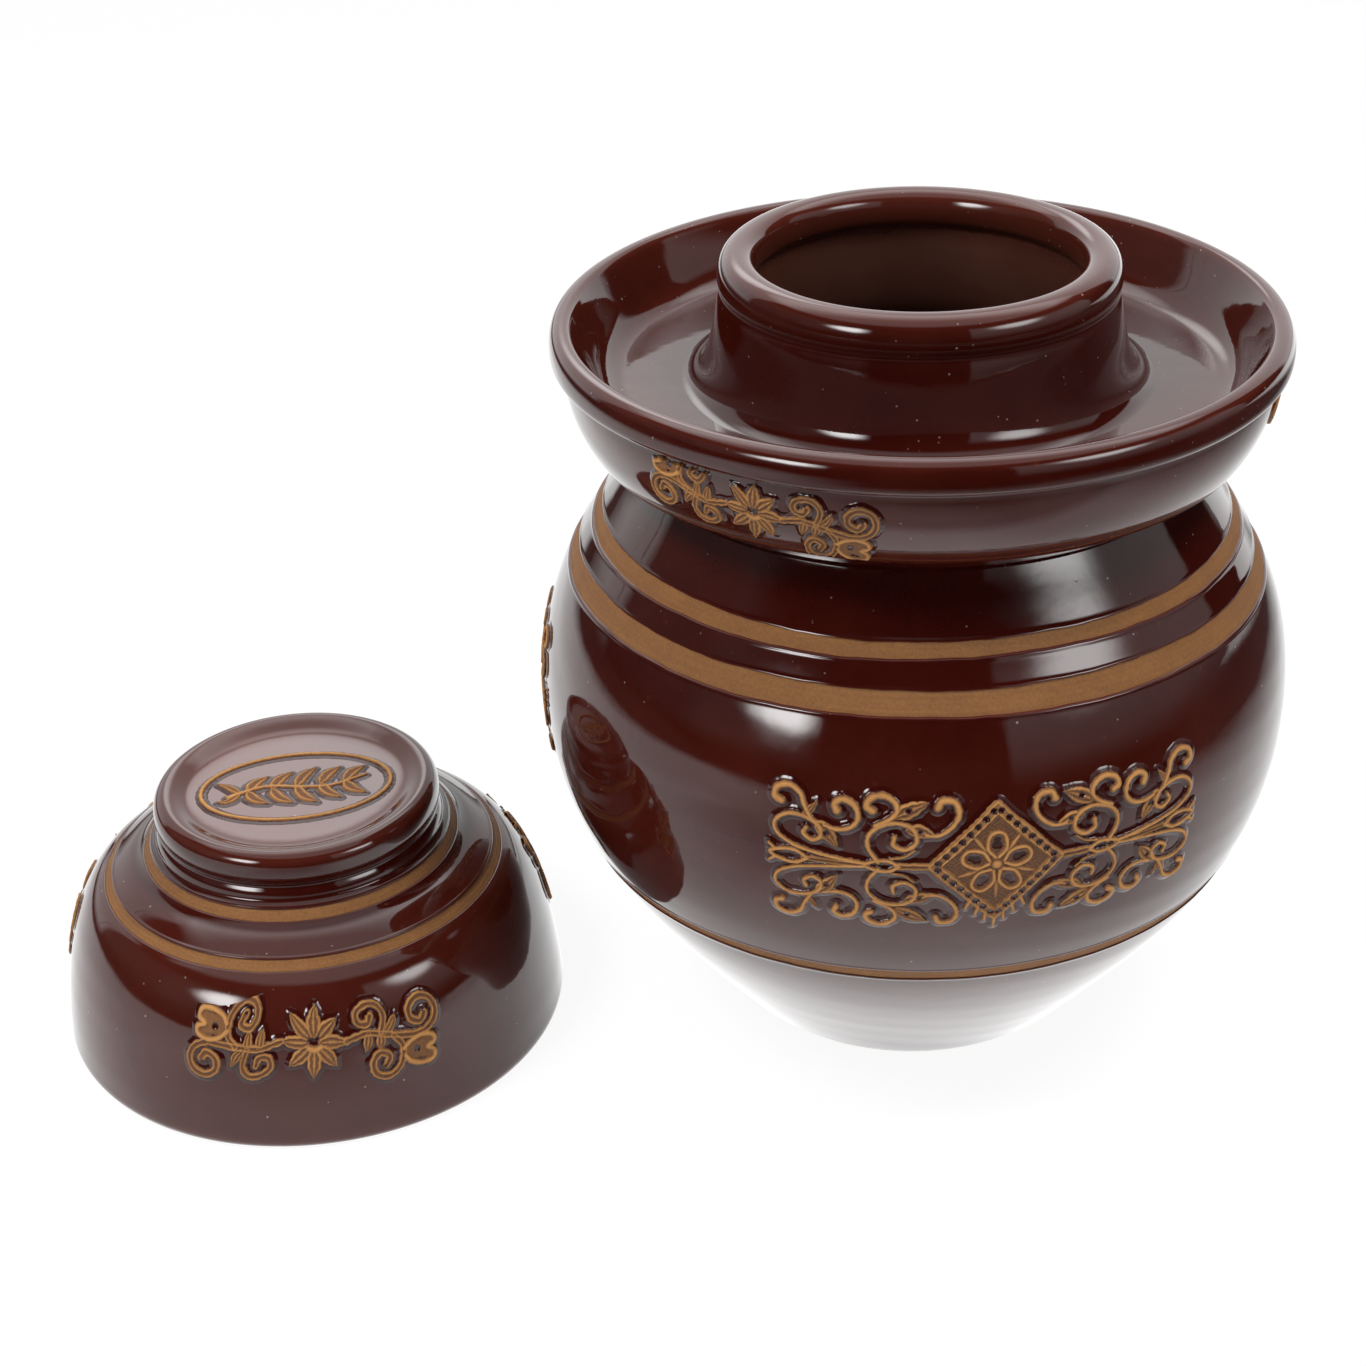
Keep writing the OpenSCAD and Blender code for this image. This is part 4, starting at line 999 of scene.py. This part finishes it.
@dataclass
class Cover:
    """The bowl shaped cover, standing rim down beside the jar."""

    axis: Pair = (-164.0, -12.0)
    rim_r: float = 68.2
    wall: float = 5.0
    inner_h: float = 48.5
    foot_r: float = 38.0
    height: float = 69.5
    dish: float = 2.5
    band_cut: float = 1.0
    band_depth: float = 0.3
    sprig_turn: float = 7.4
    sprig_z: float = 30.5
    steps: int = 320

    def __post_init__(self) -> None:
        """Draws the outer wall and the places of the two bands."""
        self.outer = cubic((self.rim_r, 0), (67.2, 17), (63.2, 41.6), (53.4, 45.6), 70)
        self.outer_band = (np.array([53.4, 45.6]), np.array([51.28, 47.72]))
        self.inner_band = (np.array([42.2, 53.0]), np.array([40.35, 55.36]))
        self.surface = Wall(self.outer, Waver(8), self.axis)

    def groove(self, low: np.ndarray, top: np.ndarray, wide: float) -> np.ndarray:
        """A round edged groove between two points of the outline."""
        along = (top - low) / np.linalg.norm(top - low)
        out = np.array([along[1], -along[0]])
        length = np.linalg.norm(top - low)
        rows = [low - along * 0.5 + out * 0.13, low - along * 0.2 + out * 0.08, low - along * 0.02 - out * 0.12,
                low + along * 0.05 - out * 0.5, low + along * 0.1 - out * wide]
        back = [top - along * 0.1 - out * wide, top - along * 0.05 - out * 0.5, top + along * 0.02 - out * 0.12,
                top + along * 0.2 + out * 0.08, top + along * 0.5 + out * 0.13]
        middle = [low + along * length * t - out * wide for t in (0.3, 0.5, 0.7)]
        return np.array(rows + middle + back)

    def build_bowl(self, palette: Palette) -> None:
        """The bowl: rounded rim, domed wall, stepped crown, foot ring and dished top."""
        line = Outline()
        line.add([(self.rim_r - self.wall + 1.6, 0.3), (64.9, 0.0), (65.9, 0.0)], bare=1)
        line.add([(66.9, 0.35), (67.5, 0.9)], thin=0.9)
        line.add([(67.9, 1.8), (68.05, 2.6)], thin=0.5)
        wall = self.outer[(self.outer[:, 1] > 3.2) & (self.outer[:, 1] < 45.0)]
        # Painted light: the thin mark on the wall and the crown is raised, so they are painted redder and lighter as
        # if lit from above and from the floor.
        line.add(wall, thin=0.26)
        line.add(self.groove(*self.outer_band, self.band_cut), thin=0.35)
        line.add(cubic((50.6, 48.2), (49.3, 49.0), (46.9, 50.6), (44.9, 51.2), 12), thin=0.22)
        line.add(cubic((44.9, 51.2), (44.0, 51.5), (43.2, 52.0), (42.5, 52.6), 4))
        line.add(self.groove(*self.inner_band, self.band_cut), thin=0.35)
        line.add(cubic((39.9, 55.75), (39.2, 56.1), (38.6, 56.3), (38.3, 57.0), 5))
        line.add(cubic((38.3, 57.0), (38.15, 58.2), (37.9, 59.0), (37.3, 59.7), 6))
        line.add(cubic((37.3, 59.7), (36.95, 60.2), (37.2, 60.9), (37.65, 61.6), 6))
        line.add(cubic((37.65, 61.6), (38.1, 63.0), (38.15, 65.2), (37.75, 66.7), 8), thin=0.06)
        line.add(cubic((37.75, 66.7), (37.3, 68.3), (36.2, 69.4), (34.6, 69.5), 10), thin=0.35)
        # Painted light: the upturned dish gets the highest thin mark and is painted lightest and reddest, as if lit by
        # the lamps overhead.
        line.add(cubic((34.6, 69.5), (32.6, 69.4), (31.4, 68.4), (29.6, 67.6), 12), thin=0.5)
        line.add(cubic((29.6, 67.6), (27.4, 66.95), (24.0, 67.0), (18.0, 67.0), 10), thin=0.85)
        line.add([(13, 67.0), (9, 67.0), (5, 67.0), (2.5, 67.0), (0, 67.0)], thin=0.85)
        inner = self.outer[::-3]
        v = np.gradient(inner, axis=0)
        v /= np.linalg.norm(v, axis=1)[:, None]
        inner = inner + self.wall * np.stack([v[:, 1], -v[:, 0]], 1)
        inner = inner[(inner[:, 1] > 2.5) & (inner[:, 0] > 44)]
        line.add([(0, self.inner_h), (8, self.inner_h), (16, self.inner_h - 0.2)], inner=0.8)
        line.add(cubic((24, self.inner_h - 0.6), (33, 47.6), (40, 45.6), tuple(inner[0]), 8)[:-1], inner=0.8)
        line.add(inner, inner=0.8)
        obj = to_object(line.spun(self.steps, True), "cover_bowl_glazed", self.surface.settle)
        dress(obj, "cover", palette.glaze, palette.glaze_slot, "cover_bowl")

    def build_band(self, node: str, ends: tuple[np.ndarray, np.ndarray], palette: Palette) -> None:
        """One slip band in its slanted groove."""
        low, top = ends
        along = (top - low) / np.linalg.norm(top - low)
        out = np.array([along[1], -along[0]])
        t = np.linspace(-0.08, 1.08, 15)[:, None]
        length = np.linalg.norm(top - low)
        face = low + along * length * t - out * (self.band_depth - 0.03 * np.sin(t * 17))
        back = [face[-1] - out * 0.8, face[0] - out * 0.8]
        line = Outline().add(face).add(back)
        obj = to_object(line.spun(self.steps, True), f"{node}_slip", self.surface.settle)
        dress(obj, "cover", palette.band, palette.slip_slot, node)

    def build_sprigs(self, palette: Palette) -> None:
        """Three daisy sprays round the wall."""
        sheet = relief_sheet(daisy_spray(), (76, 29), (0, -2), 0.22, 0.75)
        for i in range(3):
            turn = math.radians(self.sprig_turn + 120 * i)

            def lie(co: np.ndarray, turn: float = turn) -> np.ndarray:
                """Bends the sheet round the wall, with its left end a little lower, as it was pressed on."""
                z = self.sprig_z + co[:, 1] - 4.0 * ease(-co[:, 0], 8, 28)
                return self.surface.place(turn + co[:, 0] / self.rim_r, z, co[:, 2])

            obj = to_object(sheet.copy(), f"cover_sprig_{i + 1}_relief", lie, 180)
            dress(obj, "cover", palette.relief, palette.slip_slot, f"cover_sprig_{i + 1}")
        sheet.free()

    def build_medallion(self, palette: Palette) -> None:
        """The leafy oval on the dished top."""
        sheet = relief_sheet(leafy_oval(52, 34), (57, 39), (0, 0), 0.2, 0.6)
        turn = math.radians(self.sprig_turn)

        def lie(co: np.ndarray) -> np.ndarray:
            """Lays the sheet on the dish."""
            x = co[:, 0] * math.cos(turn) - co[:, 1] * math.sin(turn)
            y = co[:, 0] * math.sin(turn) + co[:, 1] * math.cos(turn)
            return np.stack([self.axis[0] + x, self.axis[1] + y, self.height - self.dish + co[:, 2]], 1)

        obj = to_object(sheet, "cover_medallion_relief", lie, 180)
        dress(obj, "cover", palette.relief, palette.slip_slot, "cover_medallion")

    def build(self, palette: Palette) -> None:
        """Builds the cover's pieces."""
        self.build_bowl(palette)
        self.build_band("cover_outer_band", self.outer_band, palette)
        self.build_band("cover_inner_band", self.inner_band, palette)
        self.build_sprigs(palette)
        self.build_medallion(palette)


# Studio


@dataclass(frozen=True)
class Softbox:
    """A soft lamp: direction towards it, distance, size and power."""

    name: str
    towards: tuple[float, float, float]
    distance: float
    size: Pair
    power: float

    def build(self) -> None:
        """Adds the lamp, facing the object."""
        data = bpy.data.lights.new(self.name, "AREA")
        data.shape = "ELLIPSE"
        data.size, data.size_y = self.size
        data.energy = self.power
        lamp = bpy.data.objects.new(self.name, data)
        way = Vector(self.towards).normalized()
        lamp.location = way * self.distance + Vector((-0.06, 0, 0.1))
        lamp.rotation_mode = "QUATERNION"
        lamp.rotation_quaternion = way.to_track_quat("Z", "Y")
        lamp.visible_glossy = False
        bpy.context.scene.collection.objects.link(lamp)


@dataclass(frozen=True)
class Card:
    """A glowing card round the set that only the glaze sees, part of an upright cylinder.

    Args:
        name: Name of the card.
        turns: Where it starts and stops, in degrees from -Y towards +X.
        heights: Its lower and upper edge, in metres.
        glow: Its even brightness, where 1 is white.
        fade: How far its sides and its ends fade out, in degrees and metres.
        core: Brightness that a hot core adds.
        core_at: Place of the core, as a turn and a height.
        core_reach: Reach of the core, in degrees and metres.
        radius: Distance of the card, in metres.
        foot: Share of the even brightness at the lower edge.
        rise: Height over which the rest of it comes in, in metres.
    """

    name: str
    turns: Pair
    heights: Pair
    glow: float
    fade: Pair = (6.0, 0.2)
    core: float = 0.0
    core_at: Pair = (0.0, 0.0)
    core_reach: Pair = (8.0, 0.4)
    radius: float = 2.5
    foot: float = 1.0
    rise: float = 0.3

    def build(self) -> None:
        """Spins an upright edge into the card and gives it its glow."""
        bm = bmesh.new()
        across, up = bm.verts.layers.float.new("across"), bm.verts.layers.float.new("up")
        ends = [bm.verts.new((0, -self.radius, z)) for z in self.heights]
        start, stop = (math.radians(turn) for turn in self.turns)
        bmesh.ops.rotate(bm, verts=ends, cent=(0, 0, 0), matrix=Matrix.Rotation(start, 3, "Z"))
        edge = bm.edges.new(ends)
        bmesh.ops.spin(bm, geom=[*ends, edge], cent=(0, 0, 0), axis=(0, 0, 1), angle=stop - start, steps=24,
                       use_merge=False, use_duplicate=False)
        for v in bm.verts:
            turn = math.degrees(math.atan2(v.co.x, -v.co.y)) - self.turns[0]
            v[across] = self.turns[0] + (turn + 20) % 360 - 20
            v[up] = v.co.z
        mesh = bpy.data.meshes.new(self.name)
        bm.to_mesh(mesh)
        bm.free()
        obj = bpy.data.objects.new(self.name, mesh)
        bpy.context.scene.collection.objects.link(obj)
        mesh.materials.append(self.material())
        obj.visible_camera = obj.visible_diffuse = obj.visible_shadow = False

    def material(self) -> bpy.types.Material:
        """The card's glow, clear where it fades out."""
        material = bpy.data.materials.new(self.name)
        material.use_nodes = True
        material.node_tree.nodes.clear()
        g = Graph(material.node_tree)
        mask, heat = None, None
        for name, ends, fade, middle, reach in (
            ("across", self.turns, self.fade[0], self.core_at[0], self.core_reach[0]),
            ("up", self.heights, self.fade[1], self.core_at[1], self.core_reach[1]),
        ):
            place = g.mark(name)
            rising, falling = g.span(place, ends[0], ends[0] + fade), g.span(place, ends[1], ends[1] - fade)
            window = g.maths("MULTIPLY", rising, falling)
            mask = window if mask is None else g.maths("MULTIPLY", mask, window)
            off = g.maths("DIVIDE", g.maths("SUBTRACT", place, middle), reach)
            square = g.maths("MULTIPLY", off, off)
            heat = square if heat is None else g.maths("ADD", heat, square)
        heat = g.maths("MULTIPLY", heat, heat)
        warm = g.maths("MULTIPLY", g.maths("POWER", math.e, g.maths("MULTIPLY", heat, -1.0)), self.core)
        even = g.span(g.mark("up"), self.heights[0], self.heights[0] + self.rise, self.glow * self.foot, self.glow)
        strength = g.maths("ADD", warm, even)
        glow = g.add("ShaderNodeEmission", {"Color": (1, 1, 1, 1), "Strength": strength})
        clear = g.add("ShaderNodeBsdfTransparent")
        both = g.add("ShaderNodeMixShader", {"0": mask, "1": clear.outputs[0], "2": glow.outputs[0]})
        g.add("ShaderNodeOutputMaterial", {"Surface": both.outputs[0]})
        return material


@dataclass(frozen=True)
class Studio:
    """Camera, white floor and lamps."""

    eye: tuple[float, float, float] = (-60.39, -573.94, 416.5)
    pitch: float = 0.5193
    roll: float = -0.031
    lens: float = 65.56

    def build_camera(self) -> None:
        """The camera at the photograph's place."""
        right = Vector((1, 0, 0))
        up = Vector((0, math.sin(self.pitch), math.cos(self.pitch)))
        ahead = Vector((0, math.cos(self.pitch), -math.sin(self.pitch)))
        c, s = math.cos(self.roll), math.sin(self.roll)
        across, above = c * right + s * up, -s * right + c * up
        turn = Matrix((across, above, -ahead)).transposed()
        data = bpy.data.cameras.new("camera")
        data.lens, data.sensor_width, data.sensor_fit = self.lens, 36, "HORIZONTAL"
        camera = bpy.data.objects.new("camera", data)
        camera.matrix_world = Matrix.Translation(Vector(self.eye) * MM) @ turn.to_4x4()
        bpy.context.scene.collection.objects.link(camera)
        bpy.context.scene.camera = camera

    def build_floor(self) -> None:
        """A white floor that keeps a soft shadow and is clear from below."""
        bm = bmesh.new()
        bmesh.ops.create_grid(bm, x_segments=1, y_segments=1, size=4)
        mesh = bpy.data.meshes.new("floor")
        bm.to_mesh(mesh)
        bm.free()
        floor = bpy.data.objects.new("floor", mesh)
        bpy.context.scene.collection.objects.link(floor)
        material = bpy.data.materials.new("white_floor")
        material.use_nodes = True
        material.node_tree.nodes.clear()
        g = Graph(material.node_tree)
        path = g.add("ShaderNodeLightPath")
        mirrored = g.maths("MAXIMUM", path.outputs["Is Glossy Ray"], path.outputs["Is Transmission Ray"])
        paper = g.add("ShaderNodeBsdfDiffuse", {"Color": (0.92, 0.92, 0.92, 1)})
        glow = g.add("ShaderNodeEmission", {"Color": (1, 1, 1, 1), "Strength": 1.08})
        share = g.maths("MULTIPLY", path.outputs["Is Camera Ray"], 0.86)
        seen = g.add("ShaderNodeMixShader", {"0": share, "1": paper.outputs[0], "2": glow.outputs[0]})
        sheet = g.add("ShaderNodeEmission", {"Color": (1, 1, 1, 1), "Strength": self.sheet_level(g)})
        both = g.add("ShaderNodeMixShader", {"0": mirrored, "1": seen.outputs[0], "2": sheet.outputs[0]})
        clear = g.add("ShaderNodeBsdfTransparent")
        under = g.add("ShaderNodeNewGeometry").outputs["Backfacing"]
        last = g.add("ShaderNodeMixShader", {"0": under, "1": both.outputs[0], "2": clear.outputs[0]})
        g.add("ShaderNodeOutputMaterial", {"Surface": last.outputs[0]})
        mesh.materials.append(material)

    def sheet_level(self, g: Graph) -> bpy.types.NodeSocket:
        """How bright the glaze sees the white sheet: brightest round the object, it ends softly in front and at both sides."""
        place = g.add("ShaderNodeSeparateXYZ", {"Vector": g.objects()})
        x, y = place.outputs[0], place.outputs[1]
        jar_side, cover_side = g.span(y, -0.185, -0.235, 1.45, 0.62), g.span(y, -0.10, -0.19, 1.1, 0.58)
        by_cover = g.maths("MULTIPLY", g.span(x, -0.05, -0.12), g.span(x, -0.28, -0.23))
        near = g.add("ShaderNodeMix", {"0": by_cover, "2": jar_side, "3": cover_side}, data_type="FLOAT").outputs[0]
        front = g.maths("MULTIPLY", near, g.span(y, -0.27, -0.43, 1.0, 0.03))
        left_part = g.maths("MULTIPLY", g.span(x, -0.15, -0.36), g.span(y, -0.62, -0.30))
        level = g.add("ShaderNodeMix", {"0": left_part, "2": front, "3": 1.12}, data_type="FLOAT").outputs[0]
        left = g.span(x, -0.55, -0.82, 1.0, 0.05)
        right = g.maths("MULTIPLY", g.span(x, 0.03, 0.11, 1.0, 0.70), g.span(x, 0.22, 0.42, 1.0, 0.06))
        behind = g.span(y, 0.35, 0.55)
        right = g.maths("MAXIMUM", right, behind)
        return g.maths("MULTIPLY", level, g.maths("MULTIPLY", left, right))

    def build_ceiling(self) -> None:
        """A round glowing ceiling that only the glaze sees, soft at its edge."""
        bm = bmesh.new()
        bmesh.ops.create_circle(bm, cap_ends=True, segments=48, radius=1.75)
        bmesh.ops.translate(bm, verts=bm.verts, vec=(0, 0.2, 1.75))
        mesh = bpy.data.meshes.new("ceiling")
        bm.to_mesh(mesh)
        bm.free()
        ceiling = bpy.data.objects.new("ceiling", mesh)
        bpy.context.scene.collection.objects.link(ceiling)
        material = bpy.data.materials.new("ceiling")
        material.use_nodes = True
        material.node_tree.nodes.clear()
        g = Graph(material.node_tree)
        place = g.add("ShaderNodeVectorMath", {"0": g.objects(), "1": (0, 0.2, 1.75)}, operation="DISTANCE").outputs["Value"]
        back = g.span(g.add("ShaderNodeSeparateXYZ", {"Vector": g.objects()}).outputs[1], -0.05, 0.75, 0.85, 2.8)
        glow = g.add("ShaderNodeEmission", {"Color": (1, 1, 1, 1), "Strength": back})
        clear = g.add("ShaderNodeBsdfTransparent")
        both = g.add("ShaderNodeMixShader", {"0": g.span(place, 1.62, 1.25), "1": clear.outputs[0], "2": glow.outputs[0]})
        g.add("ShaderNodeOutputMaterial", {"Surface": both.outputs[0]})
        mesh.materials.append(material)
        ceiling.visible_camera = ceiling.visible_diffuse = ceiling.visible_shadow = False

    def build_world(self) -> None:
        """White to the camera, dim in the glaze, and a plain soft fill for matt surfaces."""
        world = bpy.data.worlds.new("studio")
        bpy.context.scene.world = world
        world.use_nodes = True
        world.node_tree.nodes.clear()
        g = Graph(world.node_tree)
        path = g.add("ShaderNodeLightPath")
        seen = g.maths("MAXIMUM", path.outputs["Is Camera Ray"], path.outputs["Is Transmission Ray"])
        fill = g.maths("MULTIPLY", path.outputs["Is Diffuse Ray"], 0.26)
        level = g.maths("ADD", g.maths("ADD", seen, fill), 0.015)
        back = g.add("ShaderNodeBackground", {"Color": (1, 1, 1, 1), "Strength": level})
        g.add("ShaderNodeOutputWorld", {"Surface": back.outputs[0]})

    def build(self) -> None:
        """Builds the studio."""
        bpy.context.scene.view_settings.view_transform = "Standard"
        self.build_camera()
        self.build_floor()
        self.build_ceiling()
        self.build_world()
        for box in (
            Softbox("left_softbox", (-0.50, -0.26, 0.82), 1.25, (0.50, 0.36), 8.0),
            Softbox("right_softbox", (0.46, -0.14, 0.86), 1.25, (0.50, 0.36), 7.4),
        ):
            box.build()
        for card in (
            Card("backdrop_card", (126, 250), (0.0, 3.1), 1.1, (4, 0.3), 2.3, (192, 1.80), (14, 0.55)),
            Card("left_card", (-76, -30), (0.0, 1.15), 0.20, (8, 0.3), 16.0, (-41.5, 0.64), (12.5, 0.24), 1.5, 0.4, 0.25),
            Card("left_wall_card", (-122, -60), (0.0, 2.1), 0.13, (10, 0.5)),
            Card("right_card", (20.7, 100), (0.02, 0.74), 0.62, (1.6, 0.16), 7.5, (49, 0.545), (14, 0.165), 0.88, 0.26, 0.36),
        ):
            card.build()


def main() -> None:
    """Builds the studio and the object."""
    logging.basicConfig(level=logging.INFO, format="%(relativeCreated)7d ms  %(message)s")
    Studio().build()
    palette = make_palette()
    for part in (JarBody(), WaterMoat(), Cover()):
        part.build(palette)


if __name__ == "__main__":
    main()
